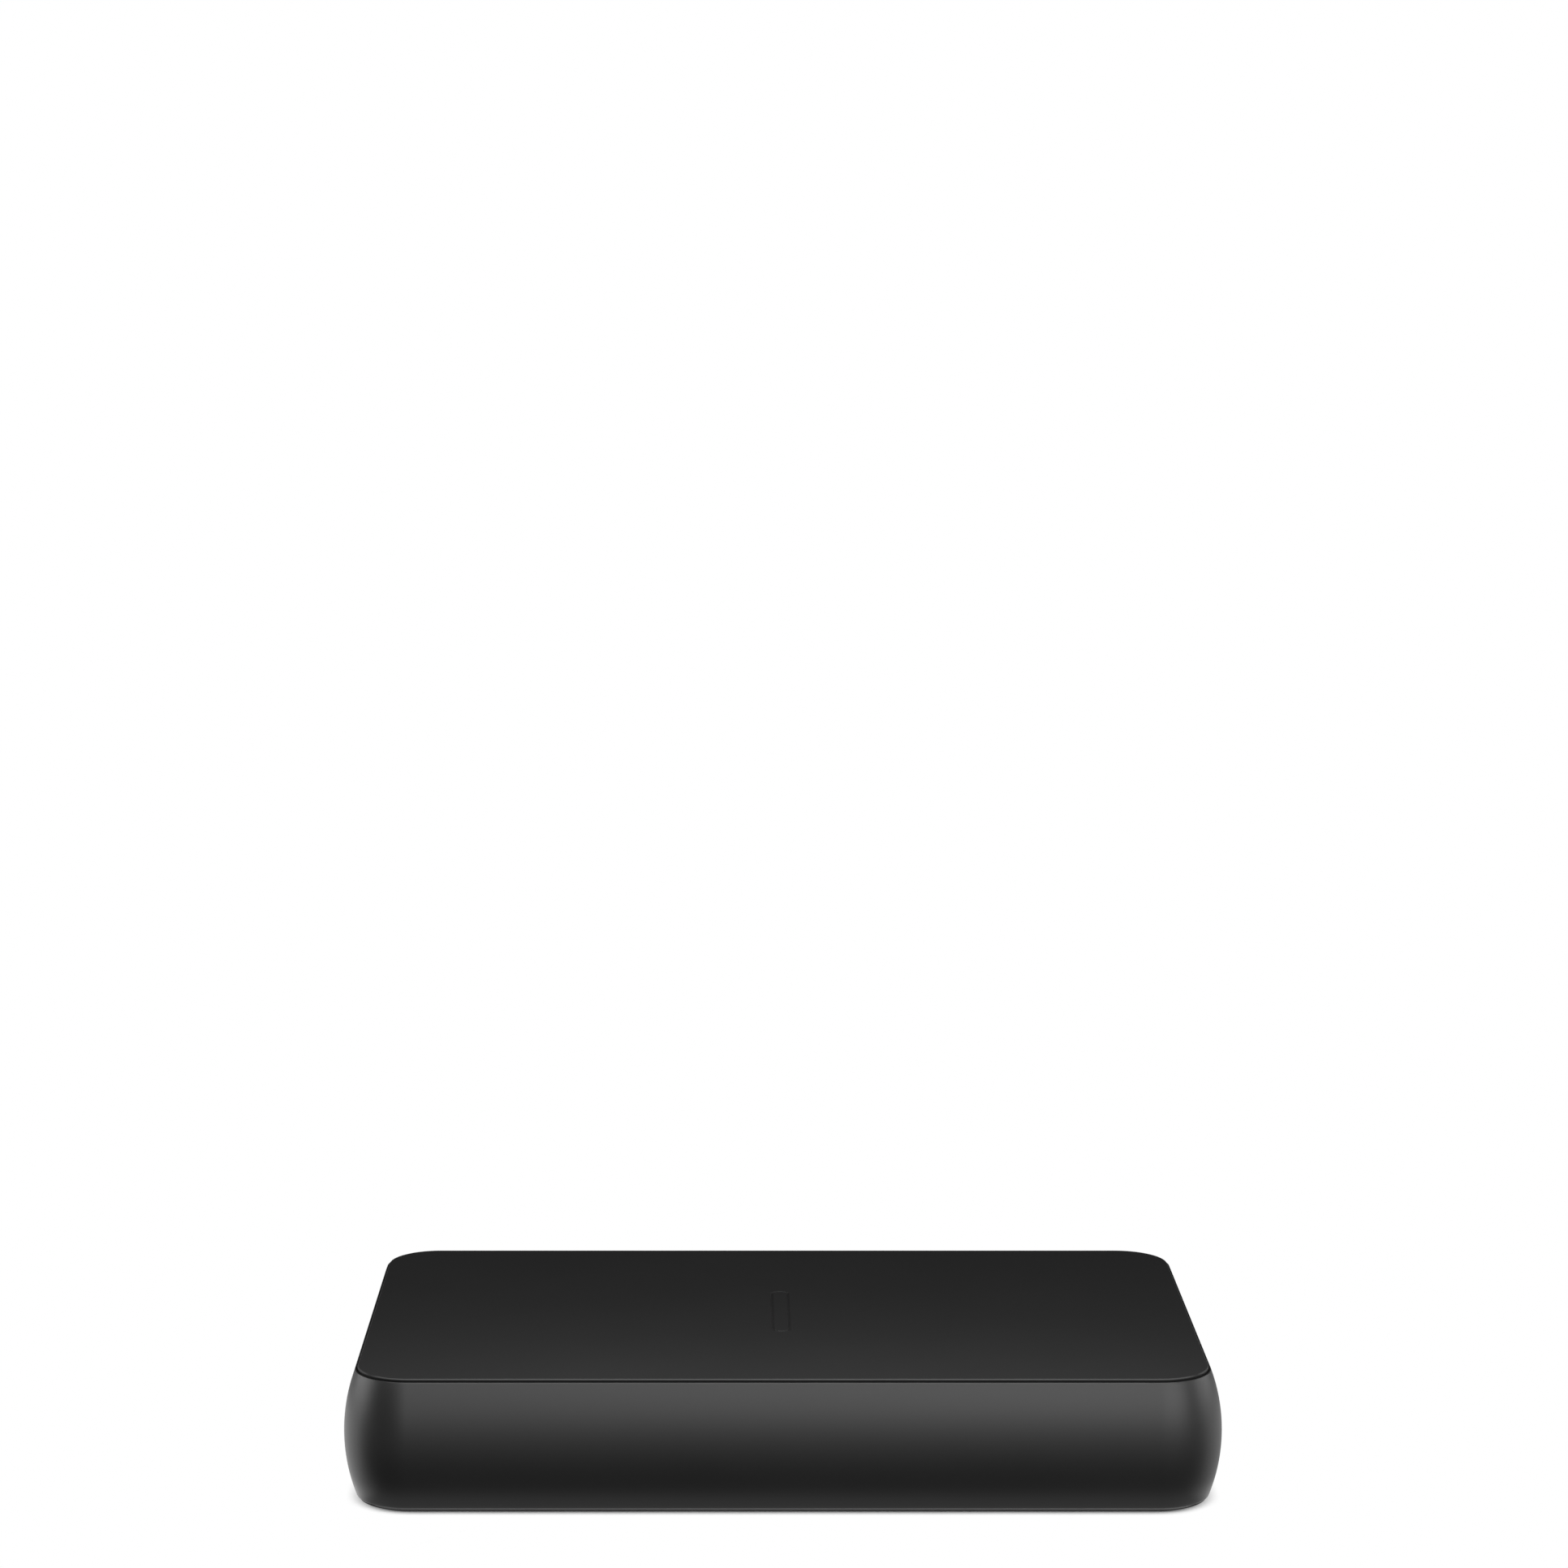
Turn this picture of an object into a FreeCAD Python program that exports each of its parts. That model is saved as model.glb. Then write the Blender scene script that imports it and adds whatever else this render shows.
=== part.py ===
"""Wireless power bank: bulged side band, two covers, cells, charging coil, board and ports.

Millimetres. X runs along the length with the ports at +X, Y to the rear long side, Z up.
The origin is the middle of the underside.
"""
import FreeCAD, Part
import math
import os
import Sketcher
from FreeCAD import Vector

# Driving sizes
SIZES = {
    # Side band, measured at its upper and lower edge
    "edge_length": 119.0,
    "edge_width": 71.0,
    "corner_radius": 7.7,
    "band_height": 17.9,
    "side_bulge": 1.65,
    "wall": 1.7,
    "rebate_depth": 0.7,
    "lip": 0.18,
    "lip_round": 0.08,
    # Covers
    "cover_proud": 0.45,
    "seam_gap": 0.15,
    "cover_round": 0.18,
    "glue": 0.1,
    "rib_depth": 1.6,
    "rib_wall": 1.0,
    "fit_gap": 0.15,
    "mark_length": 22.0,
    "mark_width": 2.8,
    "mark_corner": 1.25,
    "mark_line": 0.45,
    "mark_depth": 0.15,
    # Snap hooks of the bottom cover
    "hook_spread": 36.0,
    "hook_width": 8.0,
    "hook_rise": 4.0,
    "nib_height": 0.9,
    "nib_bite": 0.7,
    # Battery tray
    "tray_gap": 0.3,
    "tray_wall": 1.0,
    "tray_floor": 0.8,
    "tray_step": 0.6,
    "bay_length": 18.0,
    "stop_rise": 2.0,
    "stop_wall": 1.0,
    "boss_radius": 3.3,
    "boss_cap": 1.3,
    "boss_back": 4.2,
    "boss_side": 5.6,
    "post_radius": 2.2,
    "pilot_radius": 0.85,
    "pilot_depth": 3.6,
    "prop_radius": 1.4,
    "prop_front": 2.6,
    "prop_side": 3.2,
    # Cells
    "cell_gap": 0.35,
    "cell_corner": 2.0,
    "cell_round": 1.0,
    "cell_tape": 0.2,
    "end_foam": 0.6,
    "terrace_length": 4.5,
    "terrace_thick": 0.5,
    "tab_room": 3.2,
    "tab_width": 5.0,
    "tab_thick": 0.2,
    "tab_spread": 30.0,
    "tab_foot": 2.0,
    # Charging coil and what backs it
    "coil_bore": 20.5,
    "coil_turns": 9,
    "coil_pitch": 1.25,
    "wire_width": 1.1,
    "wire_thick": 1.2,
    "lead_radius": 0.45,
    "lead_bend": 1.2,
    "lead_inset": 1.4,
    "ferrite_side": 48.0,
    "ferrite_thick": 1.0,
    "ferrite_round": 4.0,
    "lead_slot": 1.4,
    "coil_foam": 0.8,
    # Circuit board
    "board_thick": 1.2,
    "board_gap": 0.5,
    "board_setback": 2.0,
    "screw_radius": 0.8,
    "screw_hole": 1.15,
    "screw_length": 5.4,
    "screw_head_radius": 1.9,
    "screw_head": 1.2,
    "screw_bevel": 0.4,
    "recess_half": 0.95,
    "recess_line": 0.18,
    "recess_depth": 0.6,
    "inductor_back": 6.2,
    "inductor_side": 6.6,
    "inductor_corner": 1.3,
    "inductor_height": 3.0,
    "lead_inductor_y": -11.5,
    "chip_gap": 0.55,
    "capacitor_width": 1.6,
    # Ports
    "port_pocket": 1.6,
    "port_pocket_height": 8.4,
    "port_margin": 1.0,
    "port_recess": 0.7,
    "port_gap": 0.2,
    "port_round": 0.25,
    "usb_a_y": 4.0,
    "usb_a_width": 13.1,
    "usb_a_height": 5.7,
    "usb_a_length": 14.0,
    "usb_a_corner": 0.6,
    "usb_sheet": 0.3,
    "usb_a_flare": 0.4,
    "leaf_spread": 5.8,
    "leaf_width": 1.9,
    "leaf_length": 5.0,
    "leaf_slot": 0.35,
    "leaf_back": 2.2,
    "usb_a_block": 4.0,
    "usb_a_tongue_width": 11.1,
    "usb_a_tongue_thick": 1.84,
    "usb_a_tongue_rise": 0.06,
    "usb_a_tongue_back": 0.9,
    "usb_a_contact_width": 1.0,
    "contact_thick": 0.2,
    "contact_tail": 1.5,
    "micro_y": 19.0,
    "micro_width": 7.5,
    "micro_height": 2.5,
    "micro_length": 5.6,
    "micro_bevel": 0.9,
    "micro_corner": 0.4,
    "micro_block": 1.6,
    "micro_leaf_spread": 3.6,
    "micro_leaf_width": 0.9,
    "micro_leaf_length": 1.8,
    "micro_leaf_slot": 0.2,
    "micro_leaf_back": 1.0,
    "micro_tongue_width": 3.7,
    "micro_tongue_thick": 0.6,
    "micro_tongue_rise": 0.1,
    "micro_tongue_back": 0.7,
    "micro_contact_width": 0.35,
    "micro_contact_pitch": 0.65,
    # Push button and its switch
    "button_y": -21.5,
    "button_length": 8.0,
    "button_height": 3.4,
    "button_corner": 1.6,
    "button_round": 0.25,
    "button_gap": 0.15,
    "button_flange": 0.8,
    "button_flange_thick": 0.9,
    "button_rest_gap": 0.1,
    "button_stem": 1.0,
    "switch_length": 6.0,
    "switch_depth": 3.2,
    "plunger_length": 2.4,
    "plunger_height": 1.2,
    "plunger_reach": 1.0,
    "plunger_root": 0.9,
    "switch_well": 1.5,
    "plunger_gap": 0.1,
    # Charge level lights
    "light_y": -11.0,
    "light_pitch": 2.6,
    "light_count": 4,
    "light_radius": 0.75,
    "light_gap": 0.05,
    "guide_bar": 1.6,
    "guide_height": 2.0,
    "guide_margin": 1.2,
    "guide_gap": 0.3,
    "led_width": 1.6,
    "led_depth": 0.8,
    "led_height": 1.0,
}

# Sizes and places that follow from the driving sizes
FITS = {
    "z_low_rim": "=size.cover_proud",
    "z_high_rim": "=size.cover_proud + size.band_height",
    "z_top": "=2 * size.cover_proud + size.band_height",
    "z_mid": "=z_top / 2",
    "bulge_radius": "=(size.band_height^2 / 4 + size.side_bulge^2) / (2 * size.side_bulge)",
    "cover_inset": "=size.lip + size.seam_gap",
    "cover_length": "=size.edge_length - 2 * cover_inset",
    "cover_width": "=size.edge_width - 2 * cover_inset",
    "cover_radius": "=size.corner_radius - cover_inset",
    "cover_thick": "=size.cover_proud + size.rebate_depth - size.glue",
    "z_ceiling": "=z_top - cover_thick",
    "inner_length": "=size.edge_length - 2 * size.wall",
    "inner_width": "=size.edge_width - 2 * size.wall",
    "inner_radius": "=size.corner_radius - size.wall",
    "rib_length": "=inner_length - 2 * size.fit_gap",
    "rib_width": "=inner_width - 2 * size.fit_gap",
    "rib_radius": "=inner_radius - size.fit_gap",
    "tray_length": "=rib_length - 2 * size.rib_wall - 2 * size.tray_gap",
    "tray_width": "=rib_width - 2 * size.rib_wall - 2 * size.tray_gap",
    "tray_radius": "=rib_radius - size.rib_wall - size.tray_gap",
    "z_tray": "=cover_thick + size.tray_floor",
    "x_end": "=size.edge_length / 2 + size.side_bulge",
    "x_wall": "=inner_length / 2 + size.port_pocket",
    "x_port": "=x_end - size.port_recess",
    "z_board_top": "=z_mid - size.micro_height / 2",
    "z_board": "=z_board_top - size.board_thick",
    "x_board_back": "=tray_length / 2 - size.bay_length",
    "x_board_side": "=tray_length / 2 - size.board_setback",
    "x_board_edge": "=x_wall - size.board_gap",
    "board_half": "=tray_width / 2 - size.tray_wall - size.board_gap",
    "x_boss": "=x_board_back + size.boss_back",
    "y_boss": "=tray_width / 2 - size.boss_side",
    "y_end_inductor": "=y_boss - size.screw_head_radius - size.chip_gap - size.inductor_side / 2",
    "y_end_capacitor": "=y_end_inductor - size.inductor_side / 2 - size.chip_gap - size.capacitor_width / 2",
    "x_prop": "=x_board_side - size.prop_front",
    "y_prop": "=tray_width / 2 - size.prop_side",
    "z_post": "=z_board - size.boss_cap - size.fit_gap",
    "z_nib": "=z_tray + size.fit_gap",
    "z_coil_top": "=z_ceiling - size.glue",
    "z_coil": "=z_coil_top - size.wire_thick",
    "z_ferrite": "=z_coil - size.ferrite_thick",
    "z_cell_top": "=z_ferrite - size.coil_foam",
    "cell_thick": "=(z_cell_top - size.cell_tape - z_tray) / 2",
    "z_tape": "=z_tray + cell_thick",
    "z_upper_cell": "=z_tape + size.cell_tape",
    "x_cell_back": "=-tray_length / 2 + size.tray_wall + size.end_foam",
    "x_cell_front": "=x_board_back - size.tab_room - size.terrace_length",
    "cell_width": "=tray_width - 2 * size.tray_wall - 2 * size.cell_gap",
    "coil_inner": "=size.coil_bore / 2",
    "coil_outer": "=coil_inner + size.coil_turns * size.coil_pitch",
    "y_inner_lead": "=-coil_inner - size.wire_width / 2",
    "y_outer_lead": "=-coil_outer - size.wire_width / 2",
    "x_lead": "=x_board_back + size.lead_inset",
    "x_usb_a_back": "=x_port - size.usb_a_length",
    "z_usb_a_tongue": "=z_mid + size.usb_a_tongue_rise",
    "x_micro_back": "=x_port - size.micro_length",
    "z_micro_tongue": "=z_mid + size.micro_tongue_rise",
    "bevel_step": "=(2 - sqrt(2)) * size.usb_sheet",
    "x_flange": "=x_wall - size.button_rest_gap - size.button_flange_thick",
    "x_switch": "=x_board_side - size.switch_depth",
    "x_plunger": "=x_board_side + size.plunger_reach",
    "guide_half": "=(size.light_count - 1) * size.light_pitch / 2 + size.guide_margin",
    "x_guide": "=x_wall - size.guide_bar",
    "y_pocket_low": "=size.button_y - size.button_length / 2 - size.button_flange - size.port_margin",
    "y_pocket_high": "=size.micro_y + size.micro_width / 2 + size.port_margin",
}

# Places of the four contacts on the tongue of the large port, from its middle
USB_A_CONTACT_PLACES = (-3.5, -1.0, 1.0, 3.5)
MICRO_CONTACT_COUNT = 5

# Chips on the board: distance from its rear edge, y, length along x, width along y, height
CHIPS = ((3.6, "size.usb_a_y + 5.0", 5.0, 5.0, 0.9), (11.8, "size.button_y + 5.7", 4.0, 4.0, 0.9),
         (11.2, "size.usb_a_y + 10.0", 3.0, 3.0, 0.8))
TRANSISTORS = ((3.2, "size.usb_a_y - 3.0", 3.2, 3.2, 0.9), (3.2, "size.usb_a_y - 8.2", 3.2, 3.2, 0.9))
# Capacitors: distance from the rear edge and y; they share one size
CAPACITORS = ((6.0, "fit.y_end_capacitor"), (11.8, "size.usb_a_y - 11.0"), (11.8, "size.usb_a_y - 14.4"),
              (11.8, "size.micro_y + 3.6"), (11.8, "size.micro_y + 6.0"))
CAPACITOR_SIZE = (3.2, SIZES["capacitor_width"], 1.6)

# How near two coordinates are when an edge counts as lying at a place
TOUCH = 1e-4

doc = FreeCAD.newDocument("wireless_power_bank")
size = doc.addObject("Spreadsheet::Sheet", "size")
fit = doc.addObject("Spreadsheet::Sheet", "fit")


def fill(sheet, cells):
    """Write each alias beside its number or formula."""
    for row, (alias, content) in enumerate(cells.items(), start=1):
        sheet.set(f"A{row}", alias)
        sheet.set(f"B{row}", str(content))
        sheet.setAlias(f"B{row}", alias)
    doc.recompute()


def value(expression):
    """The number that an expression on the sheets gives."""
    return float(size.evalExpression(expression))


# Sketch and feature helpers

def new_body(label):
    body = doc.addObject("PartDesign::Body", label)
    body.Label = label
    return body


def new_sketch(body, plane, offset):
    """A sketch on one of the body's own origin planes, shifted along that plane's normal."""
    sketch = body.newObject("Sketcher::SketchObject", f"{body.Name}_sketch")
    support = next(feature for feature in body.Origin.OriginFeatures if feature.Role == plane)
    sketch.AttachmentSupport = [(support, "")]
    sketch.MapMode = "FlatFace"
    sketch.setExpression("AttachmentOffset.Base.z", offset)
    return sketch


def drive(sketch, expression, *constraint):
    """Add a dimension whose value follows an expression."""
    index = sketch.addConstraint(Sketcher.Constraint(*constraint, value(expression)))
    sketch.setExpression(f"Constraints[{index}]", expression)


def place_point(sketch, geometry, end, x, y):
    """Fix one end of a sketch line, or a circle's centre, at x, y."""
    drive(sketch, x, "DistanceX", -1, 1, geometry, end)
    drive(sketch, y, "DistanceY", -1, 1, geometry, end)


def chain(sketch, points):
    """Straight lines through the points in order, each point driven; returns first and last index."""
    corners = [Vector(value(x), value(y), 0) for x, y in points]
    lines = [Part.LineSegment(start, end) for start, end in zip(corners, corners[1:])]
    first = sketch.GeometryCount
    for number, line in enumerate(lines):
        sketch.addGeometry(line, False)
        place_point(sketch, first + number, 1, *points[number])
        if number:
            sketch.addConstraint(Sketcher.Constraint("Coincident", first + number - 1, 2, first + number, 1))
    return first, first + len(lines) - 1


def polygon(sketch, points):
    """Closed outline with straight sides."""
    first, last = chain(sketch, points + points[:1])
    sketch.addConstraint(Sketcher.Constraint("Coincident", last, 2, first, 1))


def rectangle(sketch, x_low, x_high, y_low, y_high):
    polygon(sketch, [(x_low, y_low), (x_high, y_low), (x_high, y_high), (x_low, y_high)])


def rounded_rectangle(sketch, x, y, length, width, radius):
    """Rectangle with round corners about the middle point x, y."""
    right = value(f"{x} + ({length}) / 2")
    top = value(f"{y} + ({width}) / 2")
    left = right - value(length)
    bottom = top - value(width)
    bend = value(radius)
    up = Vector(0, 0, 1)
    quarter = math.pi / 2
    corners = [
        (Vector(right - bend, bottom + bend, 0), -quarter, Vector(left + bend, bottom, 0)),
        (Vector(right - bend, top - bend, 0), 0.0, Vector(right, bottom + bend, 0)),
        (Vector(left + bend, top - bend, 0), quarter, Vector(right - bend, top, 0)),
        (Vector(left + bend, bottom + bend, 0), 2 * quarter, Vector(left, top - bend, 0)),
    ]
    first = sketch.GeometryCount
    for centre, turn, start in corners:
        arc = Part.ArcOfCircle(Part.Circle(centre, up, bend), turn, turn + quarter)
        sketch.addGeometry(Part.LineSegment(start, arc.StartPoint), False)
        sketch.addGeometry(arc, False)
    for step in range(8):
        after = first + (step + 1) % 8
        sketch.addConstraint(Sketcher.Constraint("Tangent", first + step, 2, after, 1))
    for side in (first, first + 4):
        sketch.addConstraint(Sketcher.Constraint("Horizontal", side))
        sketch.addConstraint(Sketcher.Constraint("Vertical", side + 2))
    for arc in (first + 3, first + 5, first + 7):
        sketch.addConstraint(Sketcher.Constraint("Equal", first + 1, arc))
    drive(sketch, radius, "Radius", first + 1)
    drive(sketch, length, "DistanceX", first + 6, 1, first + 2, 1)
    drive(sketch, width, "DistanceY", first, 1, first + 4, 1)
    drive(sketch, f"{x} + ({length}) / 2", "DistanceX", -1, 1, first + 2, 1)
    drive(sketch, f"{y} + ({width}) / 2", "DistanceY", -1, 1, first + 4, 1)


def circle(sketch, x, y, radius):
    centre = Vector(value(x), value(y), 0)
    index = sketch.addGeometry(Part.Circle(centre, Vector(0, 0, 1), value(radius)), False)
    place_point(sketch, index, 3, x, y)
    drive(sketch, radius, "Radius", index)


def pad(body, sketch, length, backwards=False):
    """Raise a sketch along its plane's normal, or against it."""
    feature = body.newObject("PartDesign::Pad", f"{body.Name}_pad")
    feature.Profile = sketch
    feature.setExpression("Length", length)
    feature.Reversed = backwards
    doc.recompute()
    return feature


def pocket(body, sketch, depth, forwards=False):
    """Cut a sketch against its plane's normal, or along it, and make sure that it cuts."""
    before = body.Shape.Volume
    feature = body.newObject("PartDesign::Pocket", f"{body.Name}_pocket")
    feature.Profile = sketch
    feature.setExpression("Length", depth)
    feature.Reversed = forwards
    doc.recompute()
    if not body.Shape.Volume < before:
        raise RuntimeError(f"{feature.Name} cuts nothing")
    return feature


def bent_strip(label, y, width, outline):
    """Sheet strip: its outline as seen from the side, raised across its width about y."""
    body = new_body(label)
    side = new_sketch(body, "XZ_Plane", f"-({y}) - ({width}) / 2")
    polygon(side, outline)
    pad(body, side, width)
    return body


def turned(body, outline, x, low, high):
    """Revolve an outline about the upright line at x."""
    points = [Vector(value(x), value(end), 0) for end in (low, high)]
    axis = outline.addGeometry(Part.LineSegment(*points), True)
    place_point(outline, axis, 1, x, low)
    place_point(outline, axis, 2, x, high)
    feature = body.newObject("PartDesign::Revolution", f"{body.Name}_turned")
    feature.Profile = outline
    feature.ReferenceAxis = (outline, ["Axis0"])
    doc.recompute()
    return feature


def round_edges(body, radius, chosen):
    """Fillet the edges that the test picks."""
    base = body.Tip
    names = [f"Edge{n}" for n, edge in enumerate(base.Shape.Edges, start=1) if chosen(edge)]
    feature = body.newObject("PartDesign::Fillet", f"{body.Name}_fillet")
    feature.Base = (base, names)
    feature.setExpression("Radius", radius)
    doc.recompute()
    return feature


def at_height(z):
    """Test for an edge that lies wholly at one height."""
    level = value(z)
    return lambda edge: max(abs(edge.BoundBox.ZMin - level), abs(edge.BoundBox.ZMax - level)) < TOUCH


# Primitive helpers

def box(name, x_low, x_high, y_low, y_high, z_low, z_high):
    solid = doc.addObject("Part::Box", name)
    solid.setExpression("Length", f"({x_high}) - ({x_low})")
    solid.setExpression("Width", f"({y_high}) - ({y_low})")
    solid.setExpression("Height", f"({z_high}) - ({z_low})")
    solid.setExpression("Placement.Base.x", x_low)
    solid.setExpression("Placement.Base.y", y_low)
    solid.setExpression("Placement.Base.z", z_low)
    return solid


def cylinder(name, x, y, z_low, z_high, radius):
    solid = doc.addObject("Part::Cylinder", name)
    solid.setExpression("Radius", radius)
    solid.setExpression("Height", f"({z_high}) - ({z_low})")
    solid.setExpression("Placement.Base.x", x)
    solid.setExpression("Placement.Base.y", y)
    solid.setExpression("Placement.Base.z", z_low)
    return solid


def fuse(name, solids):
    joined = doc.addObject("Part::MultiFuse", name)
    joined.Shapes = solids
    joined.Refine = True
    return joined


def cut(name, base, tool):
    result = doc.addObject("Part::Cut", name)
    result.Base = base
    result.Tool = tool
    result.Refine = True
    return result


def group(label, solids):
    """Several separate solids in one sub-part."""
    result = doc.addObject("Part::Compound", label)
    result.Label = label
    result.Links = solids
    return result


# Housing

def side_band():
    """Ring moulding: bulged section swept round the outline, then the port openings."""
    body = new_body("side_band")
    path = new_sketch(body, "XY_Plane", "fit.z_mid")
    rounded_rectangle(path, "0", "0", "size.edge_length", "size.edge_width", "size.corner_radius")
    section = new_sketch(body, "YZ_Plane", "size.edge_length / 2 - size.corner_radius")
    rim = "size.edge_width / 2"
    lip = f"{rim} - size.lip"
    inner = f"{rim} - size.wall"
    upper_ledge = "fit.z_high_rim - size.rebate_depth"
    lower_ledge = "fit.z_low_rim + size.rebate_depth"
    first, last = chain(section, [
        (rim, "fit.z_high_rim"), (lip, "fit.z_high_rim"), (lip, upper_ledge), (inner, upper_ledge),
        (inner, lower_ledge), (lip, lower_ledge), (lip, "fit.z_low_rim"), (rim, "fit.z_low_rim")])
    bulge = Part.Arc(Vector(value(rim), value("fit.z_low_rim"), 0),
                     Vector(value(f"{rim} + size.side_bulge"), value("fit.z_mid"), 0),
                     Vector(value(rim), value("fit.z_high_rim"), 0))
    arc = section.addGeometry(bulge, False)
    section.addConstraint(Sketcher.Constraint("Coincident", last, 2, arc, 1))
    section.addConstraint(Sketcher.Constraint("Coincident", arc, 2, first, 1))
    place_point(section, arc, 1, rim, "fit.z_low_rim")
    drive(section, "fit.bulge_radius", "Radius", arc)
    doc.recompute()
    sweep = body.newObject("PartDesign::AdditivePipe", "side_band_sweep")
    sweep.Profile = section
    sweep.Spine = (path, [])
    doc.recompute()

    reach = value("size.edge_width / 2") - TOUCH
    span = value("size.edge_length / 2") - TOUCH

    def on_outline(edge):
        bounds = edge.BoundBox
        across = max(abs(bounds.YMin), abs(bounds.YMax))
        return across > reach or max(abs(bounds.XMin), abs(bounds.XMax)) > span

    at_rims = (at_height("fit.z_low_rim"), at_height("fit.z_high_rim"))
    round_edges(body, "size.lip_round", lambda edge: on_outline(edge) and any(test(edge) for test in at_rims))

    recess = new_sketch(body, "YZ_Plane", "fit.inner_length / 2 - size.port_margin")
    rectangle(recess, "fit.y_pocket_low", "fit.y_pocket_high",
              "fit.z_mid - size.port_pocket_height / 2", "fit.z_mid + size.port_pocket_height / 2")
    pocket(body, recess, "size.port_margin + size.port_pocket", forwards=True)

    through = "size.port_margin + fit.x_end - fit.x_wall + size.port_margin"
    outside = "fit.x_end + size.port_margin"
    clear = "2 * (size.usb_a_flare + size.port_gap)"
    ports = new_sketch(body, "YZ_Plane", outside)
    rounded_rectangle(ports, "size.usb_a_y", "fit.z_mid", f"size.usb_a_width + {clear}",
                      f"size.usb_a_height + {clear}", "size.usb_a_corner + size.usb_a_flare + size.port_gap")
    rounded_rectangle(ports, "size.micro_y", "fit.z_mid", "size.micro_width + 2 * size.port_gap",
                      "size.micro_height + 2 * size.port_gap", "size.micro_corner")
    pocket(body, ports, through)
    slot = new_sketch(body, "YZ_Plane", outside)
    rounded_rectangle(slot, "size.button_y", "fit.z_mid", "size.button_length + 2 * size.button_gap",
                      "size.button_height + 2 * size.button_gap", "size.button_corner + size.button_gap")
    pocket(body, slot, through)
    mouth_low = value("fit.x_end - size.side_bulge / 2")
    mouth_reach = value("size.edge_width / 2 - size.corner_radius")
    mouth_rise = value("size.port_pocket_height / 2")
    middle = value("fit.z_mid")

    def at_mouth(edge):
        bounds = edge.BoundBox
        inside = max(abs(bounds.ZMin - middle), abs(bounds.ZMax - middle)) < mouth_rise
        return bounds.XMin > mouth_low and inside and max(abs(bounds.YMin), abs(bounds.YMax)) < mouth_reach

    round_edges(body, "size.port_round", at_mouth)
    lights = new_sketch(body, "YZ_Plane", outside)
    for y in light_places():
        circle(lights, y, "fit.z_mid", "size.light_radius + size.light_gap")
    pocket(body, lights, through)
    return body


def cover(label, z_plate, z_show, z_inner, rib_down):
    """Flat plate with a softened show edge and a locating rib on its inner face."""
    body = new_body(label)
    plate = new_sketch(body, "XY_Plane", z_plate)
    rounded_rectangle(plate, "0", "0", "fit.cover_length", "fit.cover_width", "fit.cover_radius")
    pad(body, plate, "fit.cover_thick")
    round_edges(body, "size.cover_round", at_height(z_show))
    rib = new_sketch(body, "XY_Plane", z_inner)
    rounded_rectangle(rib, "0", "0", "fit.rib_length", "fit.rib_width", "fit.rib_radius")
    rounded_rectangle(rib, "0", "0", "fit.rib_length - 2 * size.rib_wall",
                      "fit.rib_width - 2 * size.rib_wall", "fit.rib_radius - size.rib_wall")
    pad(body, rib, "size.rib_depth", backwards=rib_down)
    return body


def top_cover():
    """Upper cover with a plain sunk outline at the middle, where a telephone is centred."""
    body = cover("top_cover", "fit.z_ceiling", "fit.z_top", "fit.z_ceiling", True)
    mark = new_sketch(body, "XY_Plane", "fit.z_top")
    rounded_rectangle(mark, "0", "0", "size.mark_width", "size.mark_length", "size.mark_corner")
    rounded_rectangle(mark, "0", "0", "size.mark_width - 2 * size.mark_line",
                      "size.mark_length - 2 * size.mark_line", "size.mark_corner - size.mark_line")
    pocket(body, mark, "size.mark_depth")
    return body


def bottom_cover():
    """Lower cover with two screw posts and two snap hooks for the tray."""
    body = cover("bottom_cover", "0", "0", "fit.cover_thick", False)
    posts = new_sketch(body, "XY_Plane", "fit.cover_thick")
    for side in ("-", ""):
        circle(posts, "fit.x_boss", f"{side}fit.y_boss", "size.post_radius")
    pad(body, posts, "fit.z_post - fit.cover_thick")
    pilots = new_sketch(body, "XY_Plane", "fit.z_post")
    for side in ("-", ""):
        circle(pilots, "fit.x_boss", f"{side}fit.y_boss", "size.pilot_radius")
    pocket(body, pilots, "size.pilot_depth")
    hook_back = "-fit.rib_length / 2"
    hook_face = f"{hook_back} + size.rib_wall"
    hooks = new_sketch(body, "XY_Plane", "fit.cover_thick")
    for low, high in hook_spans("0"):
        rectangle(hooks, hook_back, hook_face, low, high)
    pad(body, hooks, "size.hook_rise")
    nibs = new_sketch(body, "XY_Plane", "fit.z_nib")
    for low, high in hook_spans("0"):
        rectangle(nibs, hook_back, f"{hook_face} + size.tray_gap + size.nib_bite", low, high)
    pad(body, nibs, "size.nib_height")
    return body


def hook_spans(clearance):
    """Low and high y of each snap hook, widened by a clearance."""
    half = f"(size.hook_width / 2 + {clearance})"
    return [(f"{side}size.hook_spread / 2 - {half}", f"{side}size.hook_spread / 2 + {half}")
            for side in ("-", "")]


def adhesive_ring(label, z_low):
    """Bonding ring between a cover and the ledge of the band."""
    body = new_body(label)
    ring = new_sketch(body, "XY_Plane", z_low)
    rounded_rectangle(ring, "0", "0", "fit.cover_length", "fit.cover_width", "fit.cover_radius")
    rounded_rectangle(ring, "0", "0", "fit.inner_length", "fit.inner_width", "fit.inner_radius")
    pad(body, ring, "size.glue")
    return body


# Tray and cells

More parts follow.
